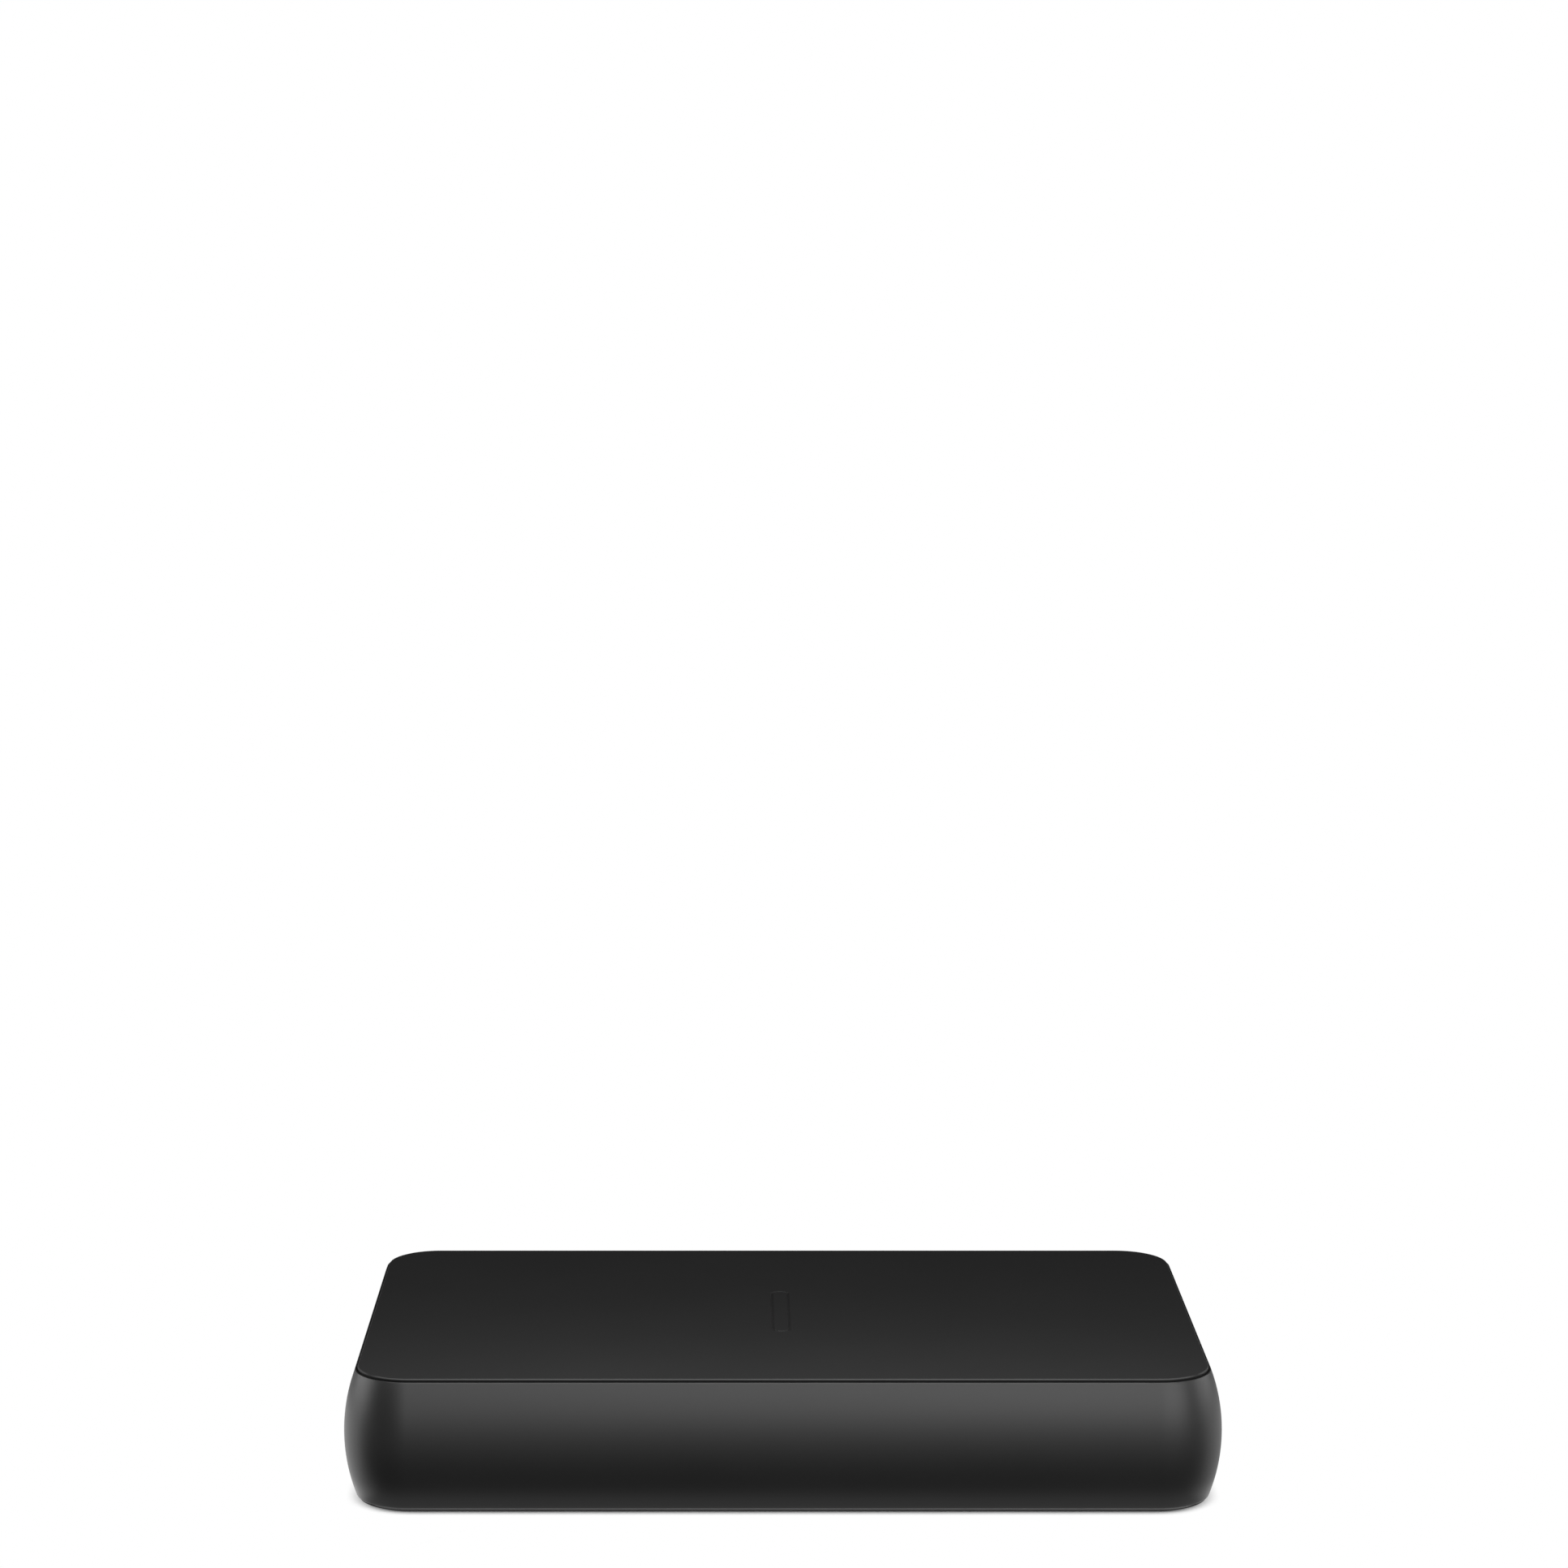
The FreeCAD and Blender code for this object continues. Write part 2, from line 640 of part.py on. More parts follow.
def battery_tray():
    """Inner moulding: floor, walls open at the port end, cell stop, board bosses and props."""
    body = new_body("battery_tray")
    floor = new_sketch(body, "XY_Plane", "fit.cover_thick")
    rounded_rectangle(floor, "0", "0", "fit.tray_length", "fit.tray_width", "fit.tray_radius")
    pad(body, floor, "size.tray_floor")
    walls = new_sketch(body, "XY_Plane", "fit.z_tray")
    rounded_rectangle(walls, "0", "0", "fit.tray_length", "fit.tray_width", "fit.tray_radius")
    rounded_rectangle(walls, "0", "0", "fit.tray_length - 2 * size.tray_wall",
                      "fit.tray_width - 2 * size.tray_wall", "fit.tray_radius - size.tray_wall")
    pad(body, walls, "fit.z_cell_top - size.tray_step - fit.z_tray")
    mouth = new_sketch(body, "YZ_Plane", "fit.tray_length / 2 + size.port_margin")
    half_mouth = "fit.tray_width / 2 - size.tray_wall"
    rectangle(mouth, f"-({half_mouth})", half_mouth, "fit.z_tray", "fit.z_cell_top")
    pocket(body, mouth, "size.port_margin + fit.tray_radius")
    stop = new_sketch(body, "XY_Plane", "fit.z_tray")
    stop_back = "fit.x_board_back - size.tab_room + size.cell_gap"
    stop_half = "fit.tray_width / 2 - size.tray_wall"
    rectangle(stop, stop_back, f"{stop_back} + size.stop_wall", f"-({stop_half})", stop_half)
    pad(body, stop, "size.stop_rise")
    supports = new_sketch(body, "XY_Plane", "fit.z_tray")
    for side in ("-", ""):
        circle(supports, "fit.x_boss", f"{side}fit.y_boss", "size.boss_radius")
        circle(supports, "fit.x_prop", f"{side}fit.y_prop", "size.prop_radius")
    pad(body, supports, "fit.z_board - fit.z_tray")
    sleeves = new_sketch(body, "XY_Plane", "fit.cover_thick")
    holes = new_sketch(body, "XY_Plane", "fit.z_board")
    for side in ("-", ""):
        circle(sleeves, "fit.x_boss", f"{side}fit.y_boss", "size.post_radius + size.fit_gap")
        circle(holes, "fit.x_boss", f"{side}fit.y_boss", "size.screw_hole")
    pocket(body, sleeves, "fit.z_board - size.boss_cap - fit.cover_thick", forwards=True)
    pocket(body, holes, "size.boss_cap + size.fit_gap")
    windows = new_sketch(body, "YZ_Plane", "-fit.tray_length / 2 + size.tray_wall + size.fit_gap")
    for low, high in hook_spans("size.fit_gap"):
        rectangle(windows, low, high, "fit.z_tray", "fit.z_nib + size.nib_height + size.fit_gap")
    pocket(body, windows, "size.tray_wall + 2 * size.fit_gap")
    return body


def battery_cell(label, z_low):
    """Pouch cell: soft-edged block with the sealed terrace that its tabs leave from."""
    body = new_body(label)
    middle = "(fit.x_cell_back + fit.x_cell_front) / 2"
    pouch = new_sketch(body, "XY_Plane", z_low)
    rounded_rectangle(pouch, middle, "0", "fit.x_cell_front - fit.x_cell_back", "fit.cell_width",
                      "size.cell_corner")
    pad(body, pouch, "fit.cell_thick")
    ends = (at_height(z_low), at_height(f"{z_low} + fit.cell_thick"))
    round_edges(body, "size.cell_round", lambda edge: any(test(edge) for test in ends))
    terrace = new_sketch(body, "XY_Plane", f"{z_low} + fit.cell_thick / 2 - size.terrace_thick / 2")
    half = "fit.cell_width / 2 - size.cell_corner"
    rectangle(terrace, "fit.x_cell_front - size.terrace_thick", "fit.x_cell_front + size.terrace_length",
              f"-({half})", half)
    pad(body, terrace, "size.terrace_thick")
    return body


def cell_tabs():
    """Nickel strips from each terrace to the board: upper cell to its top, lower cell to its underside."""
    runs = (("upper", "fit.z_upper_cell", "fit.z_board_top", "+"),
            ("lower", "fit.z_tray", "fit.z_board", "-"))
    start = "fit.x_cell_front + size.terrace_length"
    edge = "fit.x_board_back"
    turn = f"{edge} - size.tab_thick"
    toe = f"{edge} + size.tab_foot"
    strips = []
    for name, z_cell, z_face, way in runs:
        outer = f"{z_cell} + fit.cell_thick / 2 {way} size.tab_thick / 2"
        inner = f"{outer} - ({way}size.tab_thick)"
        foot = f"{z_face} {way} size.tab_thick"
        outline = [(start, outer), (edge, outer), (edge, foot), (toe, foot),
                   (toe, z_face), (turn, z_face), (turn, inner), (start, inner)]
        for side in ("-", ""):
            strips.append(bent_strip(f"{name}_tab", f"{side}size.tab_spread / 2", "size.tab_width", outline))
    return group("cell_tabs", strips)


def cell_adhesive_pad():
    half = "fit.cell_width / 2 - size.cell_corner"
    return box("cell_adhesive_pad", "fit.x_cell_back + size.cell_corner",
               "fit.x_cell_front - size.cell_corner", f"-({half})", half, "fit.z_tape", "fit.z_upper_cell")


def cell_end_foam():
    return box("cell_end_foam", "fit.x_cell_back - size.end_foam", "fit.x_cell_back",
               "-size.hook_spread / 2 + size.hook_width", "size.hook_spread / 2 - size.hook_width",
               "fit.z_tray", "fit.z_cell_top - size.cell_round")


# Charging coil

def spiral_edge(offset):
    """Half-turn arcs of one edge of the coil strip, each tangent to the next, from inside outwards."""
    inner = value("fit.coil_inner") + offset
    pitch = value("size.coil_pitch")
    arcs = []
    for half_turn in range(2 * int(value("size.coil_turns"))):
        start = inner + half_turn * pitch / 2
        end = start + pitch / 2
        side = -1 if half_turn % 2 == 0 else 1
        middle = side * (start - end) / 2
        radius = (start + end) / 2
        arcs.append(Part.Arc(Vector(0, side * start, 0), Vector(-side * radius, middle, 0),
                             Vector(0, -side * end, 0)).toShape())
    return arcs


def charging_coil():
    """Flat spiral of litz wire under the top cover."""
    inside = spiral_edge(0.0)
    outside = spiral_edge(value("size.wire_width"))
    ends = [Part.makeLine(a, b) for a, b in (
        (inside[0].Vertexes[0].Point, outside[0].Vertexes[0].Point),
        (inside[-1].Vertexes[-1].Point, outside[-1].Vertexes[-1].Point))]
    outline = Part.Wire(Part.__sortEdges__(inside + outside + ends))
    coil = doc.addObject("Part::Feature", "charging_coil")
    coil.Label = "charging_coil"
    coil.Shape = Part.Face(outline).extrude(Vector(0, 0, value("size.wire_thick")))
    coil.Placement.Base = Vector(0, 0, value("fit.z_coil"))
    return coil


def bent_lead(points, bend):
    """Round wire along straight runs that are joined by arcs."""
    edges = []
    start = points[0]
    for corner, after in zip(points[1:], points[2:]):
        towards = (corner - start).normalize()
        away = (after - corner).normalize()
        arc_start = corner - towards * bend
        arc_end = corner + away * bend
        middle = corner + (away - towards) * bend * (1 - math.sqrt(0.5))
        edges.append(Part.makeLine(start, arc_start))
        edges.append(Part.Arc(arc_start, middle, arc_end).toShape())
        start = arc_end
    edges.append(Part.makeLine(start, points[-1]))
    first_way = points[1] - points[0]
    profile = Part.Wire(Part.makeCircle(value("size.lead_radius"), points[0], first_way))
    return Part.Wire(edges).makePipeShell([profile], True, False)


def coil_leads():
    """Two leads to the board: one straight off the outer turn, one under the turns in the shield's slot."""
    down_to = value("fit.z_board_top")
    out_to = value("fit.x_lead")
    bend = value("size.lead_bend")
    outer_y = value("fit.y_outer_lead")
    outer_z = value("fit.z_coil_top - size.wire_thick / 2")
    outer = bent_lead([Vector(0, outer_y, outer_z), Vector(out_to, outer_y, outer_z),
                       Vector(out_to, outer_y, down_to)], bend)
    inner_y = value("fit.y_inner_lead")
    inner_z = value("fit.z_coil - size.lead_radius")
    inner = bent_lead([Vector(0, inner_y, inner_z), Vector(out_to, inner_y, inner_z),
                       Vector(out_to, inner_y, down_to)], bend)
    leads = doc.addObject("Part::Feature", "coil_leads")
    leads.Label = "coil_leads"
    leads.Shape = Part.makeCompound([outer, inner])
    return leads


def ferrite_shield():
    """Ferrite sheet behind the coil, with a slot for the inner lead."""
    body = new_body("ferrite_shield")
    sheet = new_sketch(body, "XY_Plane", "fit.z_ferrite")
    rounded_rectangle(sheet, "0", "0", "size.ferrite_side", "size.ferrite_side", "size.ferrite_round")
    pad(body, sheet, "size.ferrite_thick")
    slot = new_sketch(body, "XY_Plane", "fit.z_coil")
    rectangle(slot, "-size.lead_slot", "size.ferrite_side", "fit.y_inner_lead - size.lead_slot / 2",
              "fit.y_inner_lead + size.lead_slot / 2")
    pocket(body, slot, "size.ferrite_thick")
    return body


def coil_adhesive():
    return cylinder("coil_adhesive", "0", "0", "fit.z_coil_top", "fit.z_ceiling", "fit.coil_outer")


def coil_foam_pad():
    body = new_body("coil_foam_pad")
    sheet = new_sketch(body, "XY_Plane", "fit.z_cell_top")
    rounded_rectangle(sheet, "0", "0", "size.ferrite_side", "size.ferrite_side", "size.ferrite_round")
    pad(body, sheet, "size.coil_foam")
    return body


# Board and what stands on it

def main_board():
    """Board with a notch for the sunk port, a tongue under the ports and two screw holes."""
    wide = box("board_wide", "fit.x_board_back", "fit.x_board_side", "-fit.board_half", "fit.board_half",
               "fit.z_board", "fit.z_board_top")
    half_notch = "(size.usb_a_width / 2 + size.port_gap)"
    tongue = box("board_tongue", "fit.x_board_side", "fit.x_board_edge",
                 f"size.usb_a_y - {half_notch} - size.port_margin",
                 "size.micro_y + size.micro_width / 2 + size.port_gap", "fit.z_board", "fit.z_board_top")
    notch = box("board_notch", "fit.x_usb_a_back - size.port_gap", "fit.x_end",
                f"size.usb_a_y - {half_notch}", f"size.usb_a_y + {half_notch}",
                "fit.z_board - size.port_gap", "fit.z_board_top + size.port_gap")
    holes = [cylinder("board_hole", "fit.x_boss", f"{side}fit.y_boss", "fit.z_board - size.port_gap",
                      "fit.z_board_top + size.port_gap", "size.screw_hole") for side in ("-", "")]
    board = cut("main_board", fuse("board_blank", [wide, tongue]), fuse("board_cuts", [notch] + holes))
    board.Label = "main_board"
    return board


def board_screws():
    """Tapping screws with a cross recess, through board and tray into the posts of the bottom cover."""
    seat = "fit.z_board_top"
    tip = f"{seat} - size.screw_length"
    crown = f"{seat} + size.screw_head"
    middle = "fit.x_boss"
    shank = f"{middle} + size.screw_radius"
    rim = f"{middle} + size.screw_head_radius"
    screws = []
    for side in ("-", ""):
        y = f"{side}fit.y_boss"
        body = new_body("board_screw")
        outline = new_sketch(body, "XZ_Plane", f"-({y})")
        polygon(outline, [(middle, tip), (shank, f"{tip} + size.screw_radius"), (shank, seat), (rim, seat),
                          (rim, f"{crown} - size.screw_bevel"), (f"{rim} - size.screw_bevel", crown),
                          (middle, crown)])
        turned(body, outline, middle, tip, crown)
        recess = new_sketch(body, "XY_Plane", crown)
        cross(recess, middle, y)
        pocket(body, recess, "size.recess_depth")
        screws.append(body)
    return group("board_screws", screws)


def cross(sketch, x, y):
    """Outline of a cross recess about the point x, y."""
    line, half = "size.recess_line", "size.recess_half"
    arm = [("+", line, "+", line), ("+", line, "+", half), ("-", line, "+", half)]
    corners = []
    for _ in range(4):
        corners += [(f"{x} {a} {across}", f"{y} {b} {along}") for a, across, b, along in arm]
        arm = [("-" if b == "+" else "+", along, a, across) for a, across, b, along in arm]
    polygon(sketch, corners)


def inductors():
    """Moulded chokes: one at the end of the board, one beside the coil leads."""
    blocks = []
    for y in ("fit.y_end_inductor", "size.lead_inductor_y"):
        body = new_body("inductor")
        outline = new_sketch(body, "XY_Plane", "fit.z_board_top")
        rounded_rectangle(outline, "fit.x_board_back + size.inductor_back", y, "size.inductor_side",
                          "size.inductor_side", "size.inductor_corner")
        pad(body, outline, "size.inductor_height")
        blocks.append(body)
    return group("power_inductors", blocks)


def chip_group(label, places):
    """Blocks that stand on the board at the listed places."""
    blocks = []
    for back, y, length, width, height in places:
        x = f"fit.x_board_back + {back}"
        blocks.append(box("chip", f"{x} - {length / 2}", f"{x} + {length / 2}", f"{y} - {width / 2}",
                          f"{y} + {width / 2}", "fit.z_board_top", f"fit.z_board_top + {height}"))
    return group(label, blocks)


# Ports

def usb_a_shell():
    """Sheet metal tube of the output port with its flared mouth."""
    body = new_body("usb_a_shell")
    tube = new_sketch(body, "YZ_Plane", "fit.x_port")
    rounded_rectangle(tube, "size.usb_a_y", "fit.z_mid", "size.usb_a_width", "size.usb_a_height",
                      "size.usb_a_corner")
    bore_corner = "size.usb_a_corner - size.usb_sheet"
    bore = ("size.usb_a_y", "fit.z_mid", "size.usb_a_width - 2 * size.usb_sheet",
            "size.usb_a_height - 2 * size.usb_sheet", bore_corner)
    rounded_rectangle(tube, *bore)
    pad(body, tube, "size.usb_a_length", backwards=True)
    mouth = new_sketch(body, "YZ_Plane", "fit.x_port")
    rounded_rectangle(mouth, "size.usb_a_y", "fit.z_mid", "size.usb_a_width + 2 * size.usb_a_flare",
                      "size.usb_a_height + 2 * size.usb_a_flare", "size.usb_a_corner + size.usb_a_flare")
    rounded_rectangle(mouth, *bore)
    pad(body, mouth, "size.usb_sheet", backwards=True)
    leaves = new_sketch(body, "XY_Plane", "fit.z_mid + size.usb_a_height / 2")
    for side in ("-", "+"):
        leaf_slot(leaves, "leaf", f"size.usb_a_y {side} size.leaf_spread / 2")
    pocket(body, leaves, "size.usb_a_height")
    return body


def leaf_slot(sketch, name, y):
    """Slot on three sides of a spring leaf, whose free end faces the mouth."""
    tip = f"fit.x_port - size.{name}_back"
    root = f"{tip} - size.{name}_length"
    leaf = f"size.{name}_width / 2"
    slot = f"(size.{name}_width / 2 + size.{name}_slot)"
    inner_tip = f"{tip} - size.{name}_slot"
    polygon(sketch, [(root, f"{y} - {slot}"), (tip, f"{y} - {slot}"), (tip, f"{y} + {slot}"),
                     (root, f"{y} + {slot}"), (root, f"{y} + {leaf}"), (inner_tip, f"{y} + {leaf}"),
                     (inner_tip, f"{y} - {leaf}"), (root, f"{y} - {leaf}")])


def contact_strip(y, width, x_tip, x_back, z_top):
    """One contact: along the tongue, through the block, down its back and onto the board."""
    under = f"{z_top} - size.contact_thick"
    foot = "fit.z_board_top"
    foot_top = f"{foot} + size.contact_thick"
    behind = f"{x_back} - size.contact_thick"
    heel = f"{behind} - size.contact_tail"
    return bent_strip("contact", y, width, [
        (x_tip, z_top), (x_tip, under), (x_back, under), (x_back, foot),
        (heel, foot), (heel, foot_top), (behind, foot_top), (behind, z_top)])


def port_insulator(label, block, tongue, contacts):
    """Insulating block and tongue with channels where the contacts lie."""
    channels = group(f"{label}_channels", contacts.Links)
    insulator = cut(label, fuse(f"{label}_blank", [block, tongue]), channels)
    insulator.Label = label
    return insulator


def usb_a_inside():
    """Contacts and insulator of the output port."""
    tip = "fit.x_port - size.usb_a_tongue_back"
    strips = [contact_strip(f"size.usb_a_y + {place}", "size.usb_a_contact_width",
                            f"{tip} - size.contact_thick", "fit.x_usb_a_back", "fit.z_usb_a_tongue")
              for place in USB_A_CONTACT_PLACES]
    contacts = group("usb_a_contacts", strips)
    half = "(size.usb_a_width / 2 - size.usb_sheet)"
    rise = "(size.usb_a_height / 2 - size.usb_sheet)"
    corner = "(size.usb_a_corner - size.usb_sheet)"
    block = box("usb_a_block", "fit.x_usb_a_back", "fit.x_usb_a_back + size.usb_a_block",
                f"size.usb_a_y - {half} + {corner}", f"size.usb_a_y + {half} - {corner}",
                f"fit.z_mid - {rise}", f"fit.z_mid + {rise}")
    tongue = box("usb_a_tongue", "fit.x_usb_a_back", tip,
                 "size.usb_a_y - size.usb_a_tongue_width / 2", "size.usb_a_y + size.usb_a_tongue_width / 2",
                 "fit.z_usb_a_tongue", "fit.z_usb_a_tongue + size.usb_a_tongue_thick")
    return contacts, port_insulator("usb_a_insulator", block, tongue, contacts)


def micro_usb_shell():
    """Sheet metal tube of the input port, bevelled at its lower corners."""
    body = new_body("micro_usb_shell")
    tube = new_sketch(body, "YZ_Plane", "fit.x_port")
    for inset, step in (("0", "0"), ("size.usb_sheet", "fit.bevel_step")):
        half = f"(size.micro_width / 2 - {inset})"
        low = f"fit.z_mid - size.micro_height / 2 + {inset}"
        high = f"fit.z_mid + size.micro_height / 2 - {inset}"
        bevel = f"(size.micro_bevel - {step})"
        polygon(tube, [(f"size.micro_y - {half} + {bevel}", low), (f"size.micro_y + {half} - {bevel}", low),
                       (f"size.micro_y + {half}", f"{low} + {bevel}"), (f"size.micro_y + {half}", high),
                       (f"size.micro_y - {half}", high), (f"size.micro_y - {half}", f"{low} + {bevel}")])
    pad(body, tube, "size.micro_length", backwards=True)
    leaves = new_sketch(body, "XY_Plane", "fit.z_mid + size.micro_height / 2")
    for side in ("-", "+"):
        leaf_slot(leaves, "micro_leaf", f"size.micro_y {side} size.micro_leaf_spread / 2")
    pocket(body, leaves, "size.usb_sheet")
    return body


def micro_usb_inside():
    """Contacts and insulator of the input port."""
    tip = "fit.x_port - size.micro_tongue_back"
    first = -(MICRO_CONTACT_COUNT - 1) / 2
    strips = [contact_strip(f"size.micro_y + {first + number} * size.micro_contact_pitch",
                            "size.micro_contact_width", f"{tip} - size.contact_thick", "fit.x_micro_back",
                            "fit.z_micro_tongue") for number in range(MICRO_CONTACT_COUNT)]
    contacts = group("micro_usb_contacts", strips)
    half = "(size.micro_width / 2 - size.usb_sheet - size.micro_bevel)"
    rise = "(size.micro_height / 2 - size.usb_sheet)"
    block = box("micro_usb_block", "fit.x_micro_back", "fit.x_micro_back + size.micro_block",
                f"size.micro_y - {half}", f"size.micro_y + {half}",
                f"fit.z_mid - {rise}", f"fit.z_mid + {rise}")
    tongue = box("micro_usb_tongue", "fit.x_micro_back", tip,
                 "size.micro_y - size.micro_tongue_width / 2", "size.micro_y + size.micro_tongue_width / 2",
                 "fit.z_micro_tongue", "fit.z_micro_tongue + size.micro_tongue_thick")
    return contacts, port_insulator("micro_usb_insulator", block, tongue, contacts)


# Button, switch and lights

def status_button():
    """Push button: oblong cap through the band, retaining flange inside and a stem to the switch."""
    body = new_body("status_button")
    flange = new_sketch(body, "YZ_Plane", "fit.x_flange")
    rounded_rectangle(flange, "size.button_y", "fit.z_mid", "size.button_length + 2 * size.button_flange",
                      "size.button_height + 2 * size.button_flange",
                      "size.button_corner + size.button_flange")
    pad(body, flange, "size.button_flange_thick")
    cap = new_sketch(body, "YZ_Plane", "fit.x_flange + size.button_flange_thick")
    rounded_rectangle(cap, "size.button_y", "fit.z_mid", "size.button_length", "size.button_height",
                      "size.button_corner")
    pad(body, cap, "fit.x_end - fit.x_flange - size.button_flange_thick")
    face = value("fit.x_end")
    round_edges(body, "size.button_round", lambda edge: abs(edge.BoundBox.XMin - face) < TOUCH)
    stem = new_sketch(body, "YZ_Plane", "fit.x_flange")
    circle(stem, "size.button_y", "fit.z_mid", "size.button_stem")
    pad(body, stem, "fit.x_flange - fit.x_plunger", backwards=True)
    return body


def switch_body():
    """Side-acting switch on the board with a well for its plunger."""
    housing = box("switch_housing", "fit.x_switch", "fit.x_board_side",
                  "size.button_y - size.switch_length / 2", "size.button_y + size.switch_length / 2",
                  "fit.z_board_top", "fit.z_board_top + size.micro_height")
    half = "(size.plunger_length / 2 + size.plunger_gap)"
    rise = "(size.plunger_height / 2 + size.plunger_gap)"
    well = box("switch_well", "fit.x_board_side - size.switch_well", "fit.x_board_side + size.plunger_gap",
               f"size.button_y - {half}", f"size.button_y + {half}",
               f"fit.z_mid - {rise}", f"fit.z_mid + {rise}")
    switch = cut("switch_body", housing, well)
    switch.Label = "switch_body"
    return switch


def switch_plunger():
    return box("switch_plunger", "fit.x_board_side - size.plunger_root", "fit.x_plunger",
               "size.button_y - size.plunger_length / 2", "size.button_y + size.plunger_length / 2",
               "fit.z_mid - size.plunger_height / 2", "fit.z_mid + size.plunger_height / 2")


def light_places():
    """The y of each charge level light."""
    first = "size.light_y - (size.light_count - 1) / 2 * size.light_pitch"
    return [f"{first} + {number} * size.light_pitch" for number in range(SIZES["light_count"])]


def led_light_guide():
    """Clear bar behind the wall, with a leg towards each light and a window through the band."""
    body = new_body("led_light_guide")
    bar = new_sketch(body, "YZ_Plane", "fit.x_guide")
    rectangle(bar, "size.light_y - fit.guide_half", "size.light_y + fit.guide_half",
              "fit.z_mid - size.guide_height / 2", "fit.z_mid + size.guide_height / 2")
    pad(body, bar, "size.guide_bar")
    legs = new_sketch(body, "YZ_Plane", "fit.x_guide")
    windows = new_sketch(body, "YZ_Plane", "fit.x_wall")
    for y in light_places():
        rectangle(legs, f"{y} - size.led_width / 2", f"{y} + size.led_width / 2",
                  "fit.z_mid - size.guide_height / 2", "fit.z_mid")
        circle(windows, y, "fit.z_mid", "size.light_radius")
    pad(body, legs, "fit.x_guide - fit.x_board_side - size.guide_gap", backwards=True)
    pad(body, windows, "fit.x_end - fit.x_wall")
    return body


def status_leds():
    front = "fit.x_board_side"
    half = "size.led_width / 2"
    leds = [box("led", f"{front} - size.led_depth", front, f"{y} - {half}", f"{y} + {half}",
                "fit.z_board_top", "fit.z_board_top + size.led_height") for y in light_places()]
    return group("status_leds", leds)


def failed_objects():
    """Objects of the document that did not recompute, and sub-parts without a sound shape."""
    bad = [item.Name for item in doc.Objects if {"Invalid", "Error"} & set(item.State)]
    bad += [part.Label for part in parts if part.Shape.isNull() or not part.Shape.isValid()]
    return bad


fill(size, SIZES)
fill(fit, FITS)

usb_a_contacts, usb_a_insulator = usb_a_inside()
micro_usb_contacts, micro_usb_insulator = micro_usb_inside()
parts = [
    side_band(),
    top_cover(),
    bottom_cover(),
    adhesive_ring("top_cover_adhesive", "fit.z_high_rim - size.rebate_depth"),
    adhesive_ring("bottom_cover_adhesive", "fit.cover_thick"),
    battery_tray(),
    battery_cell("lower_battery_cell", "fit.z_tray"),
    battery_cell("upper_battery_cell", "fit.z_upper_cell"),
    cell_adhesive_pad(),
    cell_end_foam(),
    cell_tabs(),
    charging_coil(),
    coil_leads(),
    ferrite_shield(),
    coil_adhesive(),
    coil_foam_pad(),
    main_board(),
    board_screws(),
    inductors(),
    chip_group("control_chips", CHIPS),
    chip_group("power_transistors", TRANSISTORS),
    chip_group("ceramic_capacitors", [(back, y, *CAPACITOR_SIZE) for back, y in CAPACITORS]),
    usb_a_shell(),
    usb_a_insulator,
    usb_a_contacts,
    micro_usb_shell(),
    micro_usb_insulator,
    micro_usb_contacts,
    status_button(),
    switch_body(),
    switch_plunger(),
    led_light_guide(),
    status_leds(),
]
doc.recompute()

failures = failed_objects()
if failures:
    raise RuntimeError(f"not sound: {failures}")
os.makedirs("parts", exist_ok=True)
for part in parts:
    part.Shape.exportStep(f"parts/{part.Label}.step")
    print(f"{part.Label}: {len(part.Shape.Solids)} solid(s), {part.Shape.Volume / 1000:.3f} cm3")
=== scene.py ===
# %% [markdown]
# # A wireless power bank, dressed in Blender
#
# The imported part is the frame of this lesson: every solid is already in its place, in metres, with the ports at
# +X, the charging face at +Z and the underside on the floor. The cells below give the pieces that show their
# smooth surfaces and soft edges, and give every piece, also the hidden ones, a finish.

# %% Load the frame
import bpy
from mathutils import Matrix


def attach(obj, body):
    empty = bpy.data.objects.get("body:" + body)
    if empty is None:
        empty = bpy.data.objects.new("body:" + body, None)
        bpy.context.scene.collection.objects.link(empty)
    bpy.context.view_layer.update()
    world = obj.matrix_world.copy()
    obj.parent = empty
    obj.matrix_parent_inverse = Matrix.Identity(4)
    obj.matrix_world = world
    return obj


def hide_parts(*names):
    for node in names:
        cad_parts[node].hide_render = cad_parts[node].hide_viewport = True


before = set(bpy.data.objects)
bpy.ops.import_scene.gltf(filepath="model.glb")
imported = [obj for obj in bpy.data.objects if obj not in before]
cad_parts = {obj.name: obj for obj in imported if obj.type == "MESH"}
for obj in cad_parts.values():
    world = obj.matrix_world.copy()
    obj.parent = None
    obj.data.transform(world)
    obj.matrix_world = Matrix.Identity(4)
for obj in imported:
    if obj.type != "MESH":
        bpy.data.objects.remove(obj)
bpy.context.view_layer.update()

import math
from collections import namedtuple

import bmesh
import bpy
from mathutils import Vector

MM = 0.001
scene = bpy.context.scene

# %% [markdown]
# ## One small helper for nodes
#
# Both shader trees and geometry trees are made of nodes whose sockets are linked. Wrapping a socket in a class
# lets sums be written as sums: `1 - mask` adds a Math node by itself. Every other node comes from one method,
# which sets the node's own settings first, because some of them change which sockets it has.

# %% A socket that can be used in sums
def both_ways(operation):
    """An operator's two methods: with this socket first, and with this socket last."""
    return (lambda self, other: self.maths(operation, self, other),
            lambda self, other: self.maths(operation, other, self))


